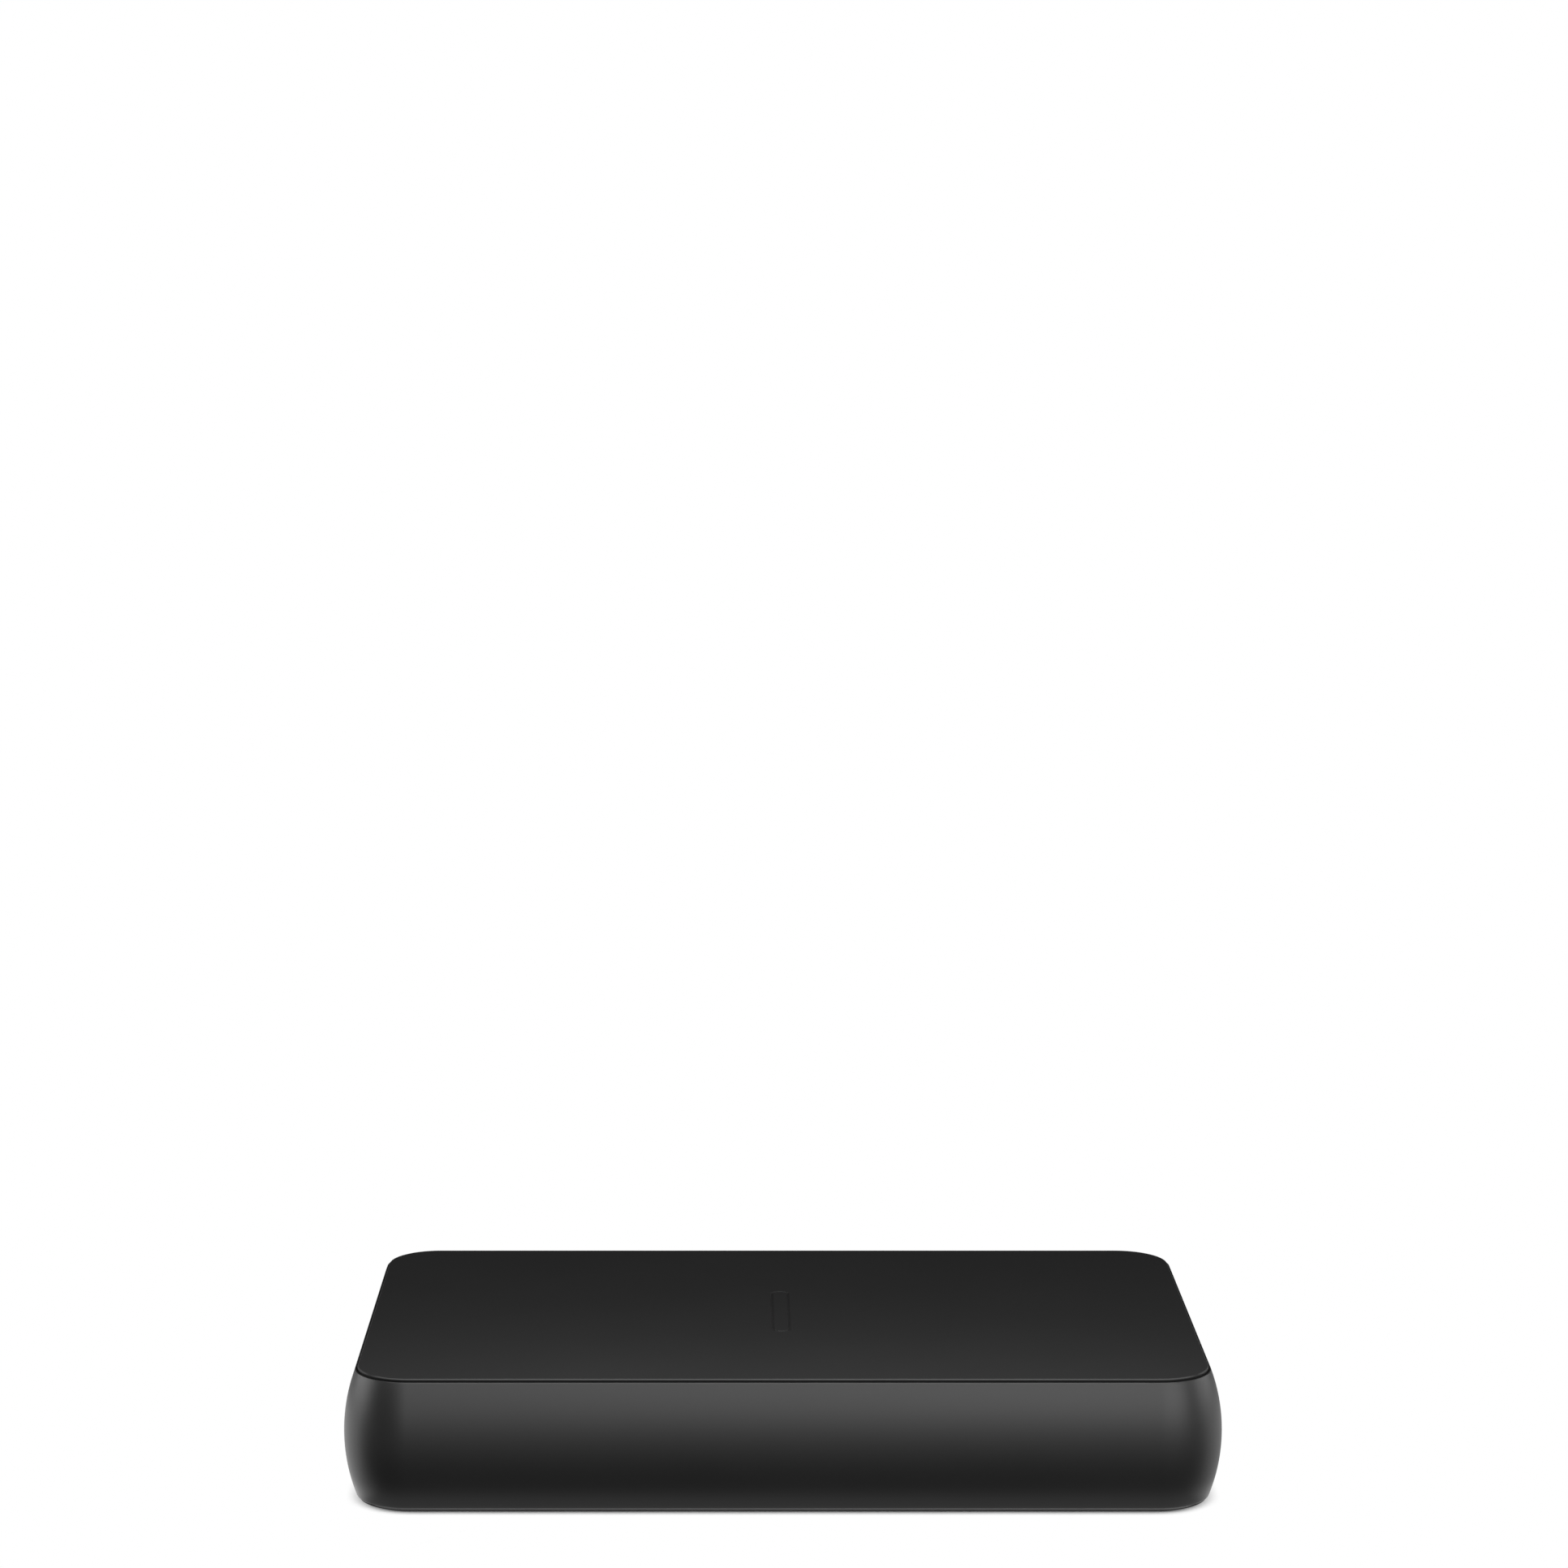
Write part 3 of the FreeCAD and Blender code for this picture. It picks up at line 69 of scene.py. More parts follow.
class Wire:
    """A socket of a node tree, or just the tree while there is no socket yet."""
    def __init__(self, tree, socket=None):
        self.tree = tree
        self.socket = socket

    def node(self, kind, settings=None, sockets=None, out=0):
        """Add a node, set it, fill or link its sockets, and return one of its outputs."""
        made = self.tree.nodes.new(kind)
        for name, value in (settings or {}).items():
            if name == "stops":
                set_stops(made.color_ramp, value)
            else:
                setattr(made, name, value)
        for name, value in (sockets or {}).items():
            for item in value if isinstance(value, list) else [value]:
                if isinstance(item, Wire):
                    self.tree.links.new(item.socket, made.inputs[name])
                else:
                    made.inputs[name].default_value = item
        return Wire(self.tree, made.outputs[out] if len(made.outputs) else None)

    def maths(self, operation, first, second):
        return self.node("ShaderNodeMath", {"operation": operation}, {0: first, 1: second})

    def vector(self, operation, first, second=(0, 0, 0), out=0):
        return self.node("ShaderNodeVectorMath", {"operation": operation}, {0: first, 1: second}, out)

    def axes(self, place):
        outputs = self.node("ShaderNodeSeparateXYZ", {}, {0: place}).socket.node.outputs
        return [Wire(self.tree, socket) for socket in outputs]

    __add__, __radd__ = both_ways("ADD")
    __sub__, __rsub__ = both_ways("SUBTRACT")
    __mul__, __rmul__ = both_ways("MULTIPLY")


def set_stops(ramp, stops):
    """Give a colour ramp its stops, each a position and a grey."""
    while len(ramp.elements) < len(stops):
        ramp.elements.new(0.5)
    for element, (position, grey) in zip(ramp.elements, stops):
        element.position = position
        element.color = (grey, grey, grey, 1)


# %% [markdown]
# ## The camera
#
# The picture was taken with a long lens from a little above. The focal length, height and pitch come from a fit
# of the outline's corners, edges and seams. The object stands off the lens axis, so a small sideways shift
# frames it, and there is no turn about the upright axis: the front edge runs level across the picture.

# %% Camera
PICTURE_SIDE = 1932
SENSOR = 36.0
FOCAL_PIXELS = 5162.5
AXIS_PIXEL = 898.61
PITCH_DOWN = 8.124
CAMERA_PLACE = (-7.47, -593.48, 181.08)

camera_data = bpy.data.cameras.new("camera")
camera_data.sensor_width = SENSOR
camera_data.lens = FOCAL_PIXELS * SENSOR / PICTURE_SIDE
camera_data.shift_x = (PICTURE_SIDE / 2 - AXIS_PIXEL) / PICTURE_SIDE
camera = bpy.data.objects.new("camera", camera_data)
camera.location = Vector(CAMERA_PLACE) * MM
camera.rotation_euler = (math.radians(90 - PITCH_DOWN), 0, 0)
scene.collection.objects.link(camera)
scene.camera = camera
print("lens", round(camera_data.lens, 2), "mm, shift", round(camera_data.shift_x, 4))

# %% [markdown]
# ## Studio light
#
# A black satin surface shows mostly what it mirrors, so it needs dark surroundings with a few large soft lights,
# and yet the picture has a white ground. Two sets of scenery could give both. Here one trick does: the room and
# the floor are white to rays from the camera alone, and dim to every other ray.

# %% A room that is white to the camera alone
DIM_ROOM = 0.03


def camera_mix(tree, seen, otherwise):
    """A shader that the camera sees as one thing and every other ray as another."""
    ray = Wire(tree).node("ShaderNodeLightPath", out="Is Camera Ray")
    return ray.node("ShaderNodeMixShader", {}, {0: ray, 1: otherwise, 2: seen})


scene.view_settings.view_transform = "Standard"
world = bpy.data.worlds.new("studio")
scene.world = world
world.use_nodes = True
world.node_tree.nodes.clear()
room = Wire(world.node_tree)
white_room, dim_room = [room.node("ShaderNodeBackground", {}, {"Color": (1, 1, 1, 1), "Strength": strength})
                        for strength in (1.0, DIM_ROOM)]
room.node("ShaderNodeOutputWorld", {}, {"Surface": camera_mix(world.node_tree, white_room, dim_room)})
print("room", world.name, "with a strength of", DIM_ROOM, "beside the camera's rays")

# %% [markdown]
# ### The floor
#
# A floor darkens where an object stands on it, and further out it throws light back at the walls. A lit plane
# would do both, but its white would not be even, so this floor glows by itself. Ambient Occlusion darkens what
# the camera sees close to the object. What lights the walls is a ramp over the distance from the object's foot,
# with more beside both ends and behind, where the panels reach less.

# %% Ramps over a value
def ramp(value, stops):
    """A grey for a value, read off a ramp."""
    return value.node("ShaderNodeValToRGB", {"stops": stops}, {0: value})


def ramp_up(value, low, high):
    """0 below a low number of millimetres, 1 above a high one, smooth between."""
    return value.node("ShaderNodeMapRange", {"interpolation_type": "SMOOTHSTEP"},
                      {"Value": value, "From Min": low * MM, "From Max": high * MM})


def strip(value, low, full, fading, high):
    """A ramp up and a ramp down again, in millimetres."""
    return ramp_up(value, low, full) * (1 - ramp_up(value, fading, high))


# %% What the floor shows and what it gives off
EDGE_LENGTH, EDGE_WIDTH, EDGE_CORNER = 119.0, 71.0, 7.7
END, BACK = EDGE_LENGTH / 2, EDGE_WIDTH / 2
SHADE_REACH, GLOW_REACH = 2.5 * MM, 100 * MM
SHADE = [(0.35, 0.02), (0.44, 0.38), (0.6, 0.75), (0.72, 1.0)]
GLOW = [(0.0, 0.5), (0.002, 0.3), (0.005, 0.24), (0.02, 0.25), (0.048, 0.025), (0.16, 0.025), (0.42, 0.12),
        (1.0, 0.13)]
END_LIFT, BESIDE_GLOW, RIGHT_LOSS, BEHIND_GLOW = 0.6, 0.62, 0.4, 0.2


def floor_shade(spot, spread):
    """White with a dark line close to the object, which is fainter round its ends."""
    nearness = spot.node("ShaderNodeAmbientOcclusion", {"samples": 8}, {"Distance": SHADE_REACH}, out="AO")
    shade = ramp(nearness, SHADE)
    return shade + END_LIFT * (1 - shade) * ramp_up(spot.axes(spread)[0], END - 7.5, END + 1.5)


def floor_glow(spot, spread):
    """A glow by the distance from the foot, with more of it beside the ends and behind."""
    straight = ((END - EDGE_CORNER) * MM, (BACK - EDGE_CORNER) * MM, 0)
    past = spot.vector("MAXIMUM", spot.vector("SUBTRACT", spread, straight))
    distance = spot.vector("LENGTH", past, out="Value") - EDGE_CORNER * MM
    side, depth, _ = spot.axes(spread)
    x, y, _ = spot.axes(spot)
    beside = ramp_up(side, END - 2, END + 1) * (1 - ramp_up(depth, BACK - 8, BACK + 4))
    beside = BESIDE_GLOW * beside * (1 - RIGHT_LOSS * ramp_up(x, -50, 50))
    return ramp(distance * (1 / GLOW_REACH), GLOW) + beside + BEHIND_GLOW * strip(y, BACK + 0.5, BACK + 8.5, 60, 160)


# %% Floor
FLOOR_HALF = 4.0
SEEN_GLOW, THROWN_GLOW = 1.0, 2.0


def glowing(colour, strength):
    """A black surface that gives off a colour and mirrors nothing."""
    return colour.node("ShaderNodeBsdfPrincipled", {}, {
        "Base Color": (0, 0, 0, 1), "Specular IOR Level": 0.0, "Emission Color": colour,
        "Emission Strength": strength})


floor_finish = bpy.data.materials.new("pale_floor")
floor_finish.use_nodes = True
floor_finish.node_tree.nodes.clear()
spot = Wire(floor_finish.node_tree).node("ShaderNodeTexCoord", out="Object")
spread = spot.vector("ABSOLUTE", spot)
floor_look = camera_mix(floor_finish.node_tree, glowing(floor_shade(spot, spread), SEEN_GLOW),
                        glowing(floor_glow(spot, spread), THROWN_GLOW))
spot.node("ShaderNodeOutputMaterial", {}, {"Surface": floor_look})

floor_mesh = bpy.data.meshes.new("floor")
floor_mesh.from_pydata([(FLOOR_HALF * x, FLOOR_HALF * y, 0) for x, y in ((-1, -1), (1, -1), (1, 1), (-1, 1))],
                       [], [(0, 1, 2, 3)])
floor = bpy.data.objects.new("floor", floor_mesh)
floor_mesh.materials.append(floor_finish)
scene.collection.objects.link(floor)
print("floor", 2 * FLOOR_HALF, "m wide in", floor_finish.name)

# %% [markdown]
# ### Soft panels
#
# Area lights stand for a photographer's softboxes, and the camera doesn't see them. A wide one in front fades
# down the front wall, and a smaller one beside it makes that wall lighter towards the right. One over the camera
# and a faint one overhead light the top, one at each end rims the round walls, and a small card just above the
# front edge makes the top lighter there. One sky picture could do the same, but not be tuned wall by wall.

# %% Soft panels
LOW_RIM, HIGH_RIM = 0.45, 18.35
TOP, MID_HEIGHT = LOW_RIM + HIGH_RIM, (LOW_RIM + HIGH_RIM) / 2
MIDDLE, FRONT_EDGE = (0, 0, MID_HEIGHT * MM), (0, -0.045, TOP * MM)


def softbox(name, place, aim, width, height, power):
    """A rectangular soft light at a place, turned to a point, in metres and watts."""
    light = bpy.data.lights.new(name, "AREA")
    light.shape = "RECTANGLE"
    light.size = width
    light.size_y = height
    light.energy = power
    lamp = bpy.data.objects.new(name, light)
    lamp.location = place
    lamp.rotation_euler = (Vector(aim) - Vector(place)).to_track_quat("-Z", "Y").to_euler()
    lamp.visible_camera = False
    scene.collection.objects.link(lamp)
    print("light", name, width, "by", height, "m,", power, "W")


softbox("front_panel", (0.36, -0.93, 0.318), MIDDLE, 1.6, 0.6, 6.05)
softbox("front_right_panel", (0.48, -0.88, 0.22), MIDDLE, 0.8, 0.42, 1.7)
softbox("upper_panel", (0, -0.6, 0.85), MIDDLE, 1.2, 0.5, 7.5)
softbox("left_panel", (-0.7, 0.12, 0.16), MIDDLE, 0.6, 0.3, 1.9)
softbox("right_panel", (0.7, 0.12, 0.16), MIDDLE, 0.6, 0.3, 1.5)
softbox("overhead_panel", (0, 0.0, 1.1), MIDDLE, 0.9, 0.7, 0.5)
softbox("near_card", (0, -0.046, 0.062), FRONT_EDGE, 0.16, 0.026, 0.06)

# %% [markdown]
# ## Finishes
#
# A finish is a Principled shader with fixed numbers on its sockets, plus what changes over the surface: colour,
# roughness and a bump. All patterns read Object coordinates, which are metres here, so a noise scale of 1000
# makes spots about a millimetre across. Pictures would need unwrapped pieces, and they blur when seen near.

# %% Make a finish
MICRON = 0.000001
finishes = {}


def new_finish(name, constants, surface):
    """A material whose fixed values go on the shader's sockets and whose pattern comes from a function."""
    material = bpy.data.materials.new(f"{name}_finish")
    material.use_nodes = True
    tree = material.node_tree
    shader = tree.nodes["Principled BSDF"]
    for socket, value in constants.items():
        shader.inputs[socket].default_value = value
    place = Wire(tree).node("ShaderNodeTexCoord", out="Object")
    for socket, wire in surface(place).items():
        tree.links.new(wire.socket, shader.inputs[socket])
    finishes[name] = material
    print("finish", name, "with", len(tree.nodes), "nodes")


def blend_colours(amount, low, high):
    """A colour between two, fixed or wired, by a value from 0 to 1."""
    low, high = [colour if isinstance(colour, Wire) else (*colour, 1) for colour in (low, high)]
    return amount.node("ShaderNodeMix", {"data_type": "RGBA"}, {0: amount, 6: low, 7: high}, out=2)


def noise(place, scale, detail=2.0):
    """A random grey with about that many spots on a metre."""
    return place.node("ShaderNodeTexNoise", {}, {"Vector": place, "Scale": scale, "Detail": detail})


def bump(height, depth, strength=1.0):
    """A normal that leans with a height, whose full range is a depth in microns."""
    return height.node("ShaderNodeBump", {}, {"Height": height, "Distance": depth * MICRON, "Strength": strength})


# %% [markdown]
# ### Soft-touch paint
#
# The housing is moulded in black plastic and sprayed with a soft-touch paint: nearly black, silky, with a very
# fine even grain that spreads a reflection out. A fine noise bump gives the grain, and a slow, faint noise in
# colour and roughness keeps wide surfaces from looking like a flat fill. On the covers the colour also carries
# painted light: a fine pale line round the top and along the foot is a painted highlight, and the side of the
# top cover down in the seam gets painted shade. Both could be painted by hand; here bands of height and of
# distance place them.

# %% Soft-touch paint
PAINT_GRAIN, PAINT_CLOUD = 5200, 55


def soft_touch(dark, light, roughness):
    def surface(place):
        grain = noise(place, PAINT_GRAIN, 1.0)
        cloud = noise(place, PAINT_CLOUD, 3.0)
        return {
            "Base Color": blend_colours(cloud, (dark,) * 3, (light,) * 3),
            "Roughness": roughness - 0.02 + 0.04 * cloud + 0.03 * (grain - 0.5),
            "Normal": bump(grain, 4, 0.35),
        }
    return surface


new_finish("band_soft_touch", {"Specular IOR Level": 0.5}, soft_touch(0.0075, 0.0095, 0.42))
new_finish("button_soft_touch", {"Specular IOR Level": 0.5}, soft_touch(0.009, 0.012, 0.38))

# %% Painted highlight and painted shade on the covers' edges
# Greys of the painted highlight on the covers' edges and of the painted shade on the top cover's side in the seam
EDGE_HIGHLIGHT_GREY, SEAM_SHADE_GREY = (0.11,) * 3, (0.003,) * 3
TOP_HIGHLIGHT, FOOT_HIGHLIGHT, HIGHLIGHT_GLOSS = 0.26, 0.95, 0.24


def cover_paint(place):
    """Soft-touch paint with a painted highlight on the edges, paler and smoother, and painted shade on the side in
    the seam.
    """
    paint = soft_touch(0.0148, 0.0168, 0.6)(place)
    side, depth, height = place.axes(place.vector("ABSOLUTE", place))
    border = place.maths("MAXIMUM", ramp_up(side, END - 2.5, END - 1.5), ramp_up(depth, BACK - 2.5, BACK - 1.5))
    upper = strip(height, TOP - 0.2, TOP - 0.1, TOP - 0.02, TOP)
    lower = strip(height, 0.18, 0.24, 0.36, 0.42)
    # Painted shade: the top cover's side down in the seam is made darker
    seam_shade = strip(height, 0.5 * TOP, 0.6 * TOP, TOP - 0.3, TOP - 0.2)
    # Painted highlight: a pale, smoother line round the top edge and along the foot
    painted_highlight = (TOP_HIGHLIGHT * upper + FOOT_HIGHLIGHT * lower) * border
    highlighted = blend_colours(painted_highlight, paint["Base Color"], EDGE_HIGHLIGHT_GREY)
    paint["Base Color"] = blend_colours(seam_shade, highlighted, SEAM_SHADE_GREY)
    paint["Roughness"] = paint["Roughness"] - HIGHLIGHT_GLOSS * painted_highlight
    return paint


new_finish("cover_soft_touch", {"Specular IOR Level": 0.12}, cover_paint)

# %% [markdown]
# ## Sections and sweeps
#
# The side band is one bulged section carried round a rectangle with round corners, so its mesh can follow the
# same rule: Geometry Nodes draw the rectangle, round it, and sweep the section along it. The section is a curve
# that Python works out from the same few sizes that the solids have.

# %% Points of arcs and outlines
def arc(centre, radius, start, end, steps):
    """Points on a circle from one angle to another, in degrees, both ends included."""
    turns = [math.radians(start + (end - start) * step / steps) for step in range(steps + 1)]
    return [(centre[0] + radius * math.cos(turn), centre[1] + radius * math.sin(turn)) for turn in turns]


def oblong(y, z, width, height, corner, steps=10):
    """A rectangle with round corners about a point, anticlockwise."""
    across, up = width / 2 - corner, height / 2 - corner
    corners = ((1, -1, -90), (1, 1, 0), (-1, 1, 90), (-1, -1, 180))
    return [point for right, top, turn in corners
            for point in arc((y + right * across, z + top * up), corner, turn, turn + 90, steps)]


# %% Section of the band
BULGE = 1.65
WALL, LIP, REBATE = 1.7, 0.18, 0.7
HIGH_ROUND, LOW_ROUND = 0.08, 0.17
BULGE_STEPS, RIM_STEPS = 72, 8
BULGE_RADIUS = ((HIGH_RIM - LOW_RIM) ** 2 / 4 + BULGE ** 2) / (2 * BULGE)


def rim(rounding):
    """How far a rounded rim's centre stands out and above the middle, and where it meets the bulge."""
    rise = HIGH_RIM - rounding - MID_HEIGHT
    reach = math.sqrt((BULGE_RADIUS - rounding) ** 2 - rise ** 2)
    return BULGE - BULGE_RADIUS + reach, rise, math.degrees(math.atan2(rise, reach))


def band_section():
    """The band's section as outward offset and height: bulge, rounded rims, lips, ledges and inner wall."""
    low_out, low_rise, low_lean = rim(LOW_ROUND)
    high_out, high_rise, high_lean = rim(HIGH_ROUND)
    points = arc((BULGE - BULGE_RADIUS, MID_HEIGHT), BULGE_RADIUS, -low_lean, high_lean, BULGE_STEPS)
    points += arc((high_out, MID_HEIGHT + high_rise), HIGH_ROUND, high_lean, 90, RIM_STEPS)[1:]
    points += [(-LIP, HIGH_RIM), (-LIP, HIGH_RIM - REBATE), (-WALL, HIGH_RIM - REBATE), (-WALL, MID_HEIGHT),
               (-WALL, LOW_RIM + REBATE), (-LIP, LOW_RIM + REBATE), (-LIP, LOW_RIM)]
    points += arc((low_out, MID_HEIGHT - low_rise), LOW_ROUND, -90, -low_lean, RIM_STEPS)[:-1]
    return points


def section_curve(name, points, closed):
    """A section as a flat curve in metres; a sweep turns its -Y upwards."""
    data = bpy.data.curves.new(name, "CURVE")
    data.dimensions = "2D"
    line = data.splines.new("POLY")
    line.points.add(len(points) - 1)
    line.use_cyclic_u = closed
    for point, (offset, height) in zip(line.points, points):
        point.co = (offset * MM, -height * MM, 0, 1)
    curve = bpy.data.objects.new(name, data)
    scene.collection.objects.link(curve)
    return curve


band_curve = section_curve("band_section", band_section(), True)
print("band section", len(band_section()), "points, bulge radius", round(BULGE_RADIUS, 2), "mm")

# %% [markdown]
# ## Openings in the port end
#
# The mouths of the two ports, the button slot and the light holes go through the band's short end at +X. Each
# mouth has a small round on its outer edge. A cutter for such a mouth is a skin over rings: straight rings in
# the wall, then rings that open out along a quarter circle as they reach the bulged surface.

# %% Skin over rings
def add_skin(shape, rings, closed=False):
    """Quads between equal rings of points; the ends are capped unless the last ring joins the first."""
    loops = [[shape.verts.new(Vector(point) * MM) for point in ring] for ring in rings]
    for low, high in zip(loops, loops[1:] + loops[:1] if closed else loops[1:]):
        for here in range(len(low)):
            after = (here + 1) % len(low)
            shape.faces.new((low[here], low[after], high[after], high[here]))
    if not closed:
        shape.faces.new(list(reversed(loops[0])))
        shape.faces.new(loops[-1])


def mesh_from(name, shape):
    """Turn the faces outwards and keep the shape as a mesh."""
    bmesh.ops.recalc_face_normals(shape, faces=shape.faces)
    mesh = bpy.data.meshes.new(name)
    shape.to_mesh(mesh)
    shape.free()
    return mesh


def helper_object(name, mesh):
    piece = bpy.data.objects.new(name, mesh)
    scene.collection.objects.link(piece)
    return piece


def end_face(height):
    """The x of the bulged surface of the port end at a height."""
    return END + BULGE - BULGE_RADIUS + math.sqrt(BULGE_RADIUS ** 2 - (height - MID_HEIGHT) ** 2)


# %% Rings that follow the bulged end
Outline = namedtuple("Outline", "y z width height corner")
ROUND_STEPS = 8


def grown(outline, by):
    """The points of an outline that is made larger on every side."""
    return oblong(outline.y, outline.z, outline.width + 2 * by, outline.height + 2 * by, outline.corner + by)


def level(x, outline):
    return [(x, y, z) for y, z in outline]


def flush_ring(outline, by, depth=0):
    """A ring of a grown outline, at a depth below the bulged surface."""
    return [(end_face(z) - depth, y, z) for y, z in grown(outline, by)]


def quarter_round(radius, turn):
    """How far a rounded edge spreads and how deep it lies, step by step up to an angle."""
    turns = [math.radians(turn * step / ROUND_STEPS) for step in range(ROUND_STEPS + 1)]
    return [(radius * (1 - math.cos(turn)), radius * (1 - math.sin(turn))) for turn in turns]


# %% Cutters for the port end
X_END = END + BULGE
POCKET_DEPTH = 1.6
X_WALL = END - WALL + POCKET_DEPTH
MOUTH_ROUND, MOUTH_TURN = 0.25, 72
CUT_BACK, CUT_OUT = 2.0, 0.3
USB_A = Outline(4.0, MID_HEIGHT, 14.3, 6.9, 1.2)
MICRO = Outline(19.0, MID_HEIGHT, 7.9, 2.9, 0.4)
SLOT = Outline(-21.5, MID_HEIGHT, 8.3, 3.7, 1.75)
LIGHT_MIDDLE, LIGHT_PITCH = -11.0, 2.6
LIGHT_PLACES = [LIGHT_MIDDLE + LIGHT_PITCH * (number - 1.5) for number in range(4)]
LIGHT_HOLE, LIGHT_CORNER, LIGHT_ROUND = 1.6, 0.78, 0.06


def mouth_rings(outline, rounding):
    """Rings of a cutter: through the wall, along the rounded mouth and out of the surface."""
    steps = quarter_round(rounding, MOUTH_TURN)
    spread, depth = steps[-1]
    rise = CUT_OUT * math.tan(math.radians(90 - MOUTH_TURN))
    return ([level(X_WALL - CUT_BACK, grown(outline, 0))]
            + [flush_ring(outline, *step) for step in steps]
            + [flush_ring(outline, spread + CUT_OUT, depth - rise),
               level(X_END + CUT_OUT, grown(outline, spread + CUT_OUT))])


def port_cutters():
    """One cutter for the two ports, the button's slot and the light holes."""
    shape = bmesh.new()
    for outline in (USB_A, MICRO, SLOT):
        add_skin(shape, mouth_rings(outline, MOUTH_ROUND))
    for y in LIGHT_PLACES:
        hole = Outline(y, MID_HEIGHT, LIGHT_HOLE, LIGHT_HOLE, LIGHT_CORNER)
        add_skin(shape, mouth_rings(hole, LIGHT_ROUND))
    return helper_object("port_cutters", mesh_from("port_cutters", shape))


def pocket_cutter():
    """The thinned wall behind the ports, in steps through each opening's middle so that no face has a hole."""
    low, high, half, corner = -27.3, 23.75, 4.2, 0.5
    stations = [(low + corner - y, half - corner + z) for y, z in arc((0, 0), corner, 0, 90, 4)]
    stations += [(y, half) for y in sorted([USB_A.y, MICRO.y, SLOT.y] + LIGHT_PLACES)]
    stations += [(high - corner + y, half - corner + z) for y, z in arc((0, 0), corner, 90, 0, 4)]
    back = END - WALL - 1
    shape = bmesh.new()
    add_skin(shape, [[(x, y, MID_HEIGHT + up * reach)
                      for x, up in ((back, -1), (X_WALL, -1), (X_WALL, 1), (back, 1))] for y, reach in stations])
    return helper_object("pocket_cutter", mesh_from("pocket_cutter", shape))


openings = port_cutters()
pocket = pocket_cutter()
print("cutters with", len(openings.data.polygons), "and", len(pocket.data.polygons), "faces")

# %% [markdown]
# ## The side band
#
# The band is one moulded ring, and everything else is fixed inside it. A subdivided box could be pushed into this
# shape, but a sweep in Geometry Nodes keeps its section exact. The tree has named inputs for the outline, so the
# same tree could make a band of another size. The openings are taken out with a Mesh Boolean in the tree, and
# the result becomes a plain mesh.

# %% Start and end of a tree
def new_tree(name, inputs):
    """An empty geometry tree with named inputs, and a wire for each input."""
    tree = bpy.data.node_groups.new(name, "GeometryNodeTree")
    for label, kind in inputs.items():
        tree.interface.new_socket(label, in_out="INPUT", socket_type=f"NodeSocket{kind}")
    tree.interface.new_socket("Geometry", in_out="OUTPUT", socket_type="NodeSocketGeometry")
    source = tree.nodes.new("NodeGroupInput")
    return tree, {label: Wire(tree, source.outputs[label]) for label in inputs}


def close_tree(tree, geometry, material):
    """Every tree ends alike: smooth faces, real geometry, one material."""
    smooth = geometry.node("GeometryNodeSetShadeSmooth", {}, {0: geometry})
    real = geometry.node("GeometryNodeRealizeInstances", {}, {0: smooth})
    painted = geometry.node("GeometryNodeSetMaterial", {}, {"Geometry": real, "Material": material})
    out = tree.nodes.new("NodeGroupOutput")
    tree.links.new(painted.socket, out.inputs[0])
    print("tree", tree.name, "with", len(tree.nodes), "nodes")
    return tree


# %% Tree for a swept band
def rounded_path(wire, length, width, corner, steps):
    """A rectangle with rounded corners, its sections kept upright."""
    frame_line = wire.node("GeometryNodeCurvePrimitiveQuadrilateral", {}, {"Width": length, "Height": width})
    bent = wire.node("GeometryNodeFilletCurve", {"mode": "POLY"},
                     {"Curve": frame_line, "Radius": corner, "Count": steps})
    return wire.node("GeometryNodeSetCurveNormal", {"mode": "Z_UP"}, {"Curve": bent})


def thing(wire, item):
    """The geometry of an object that a tree is given."""
    return wire.node("GeometryNodeObjectInfo", {}, {"Object": item}, out="Geometry")


def sweep(wire, path, section):
    return wire.node("GeometryNodeCurveToMesh", {}, {"Curve": path, "Profile Curve": section})


def without(wire, whole, tools):
    return wire.node("GeometryNodeMeshBoolean", {"operation": "DIFFERENCE", "solver": "EXACT"},
                     {"Mesh 1": whole, "Mesh 2": tools})


def band_tree():
    """The band: a section swept round the outline, less its openings."""
    tree, given = new_tree("swept_band", {
        "Length": "Float", "Width": "Float", "Corner": "Float", "Corner Steps": "Int", "Section": "Object",
        "Openings": "Object", "Pocket": "Object", "Material": "Material"})
    wire = given["Length"]
    path = rounded_path(wire, wire, given["Width"], given["Corner"], given["Corner Steps"])
    swept = sweep(wire, path, thing(wire, given["Section"]))
    cut = without(wire, swept, [thing(wire, given["Openings"]), thing(wire, given["Pocket"])])
    return close_tree(tree, cut, given["Material"])


# %% From a tree to a piece on its body
def plain_copy(piece):
    """What a piece's modifiers make of it, as a mesh of its own."""
    mesh = bpy.data.meshes.new_from_object(piece.evaluated_get(bpy.context.evaluated_depsgraph_get()))
    mesh.name = piece.name
    return mesh


def grow(name, tree, values):
    """Run a tree with these inputs and keep the result as a plain mesh."""
    maker = helper_object(f"{name}_maker", bpy.data.meshes.new(f"{name}_maker"))
    modifier = maker.modifiers.new("tree", "NODES")
    modifier.node_group = tree
    for item in tree.interface.items_tree:
        if item.in_out == "INPUT":
            modifier[item.identifier] = values[item.name]
    mesh = plain_copy(maker)
    mesh.name = name
    bpy.data.objects.remove(maker)
    return helper_object(name, mesh)


def hand_over(piece, body, slot, *nodes, crease=30):
    """Crease a piece by angle, then let it ride on its body in place of CAD nodes."""
    piece.data.polygons.foreach_set("use_smooth", [True] * len(piece.data.polygons))
    piece.data.set_sharp_from_angle(angle=math.radians(crease))
    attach(piece, body)
    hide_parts(*nodes)
    print(piece.name, len(piece.data.polygons), "faces for", ", ".join(nodes))


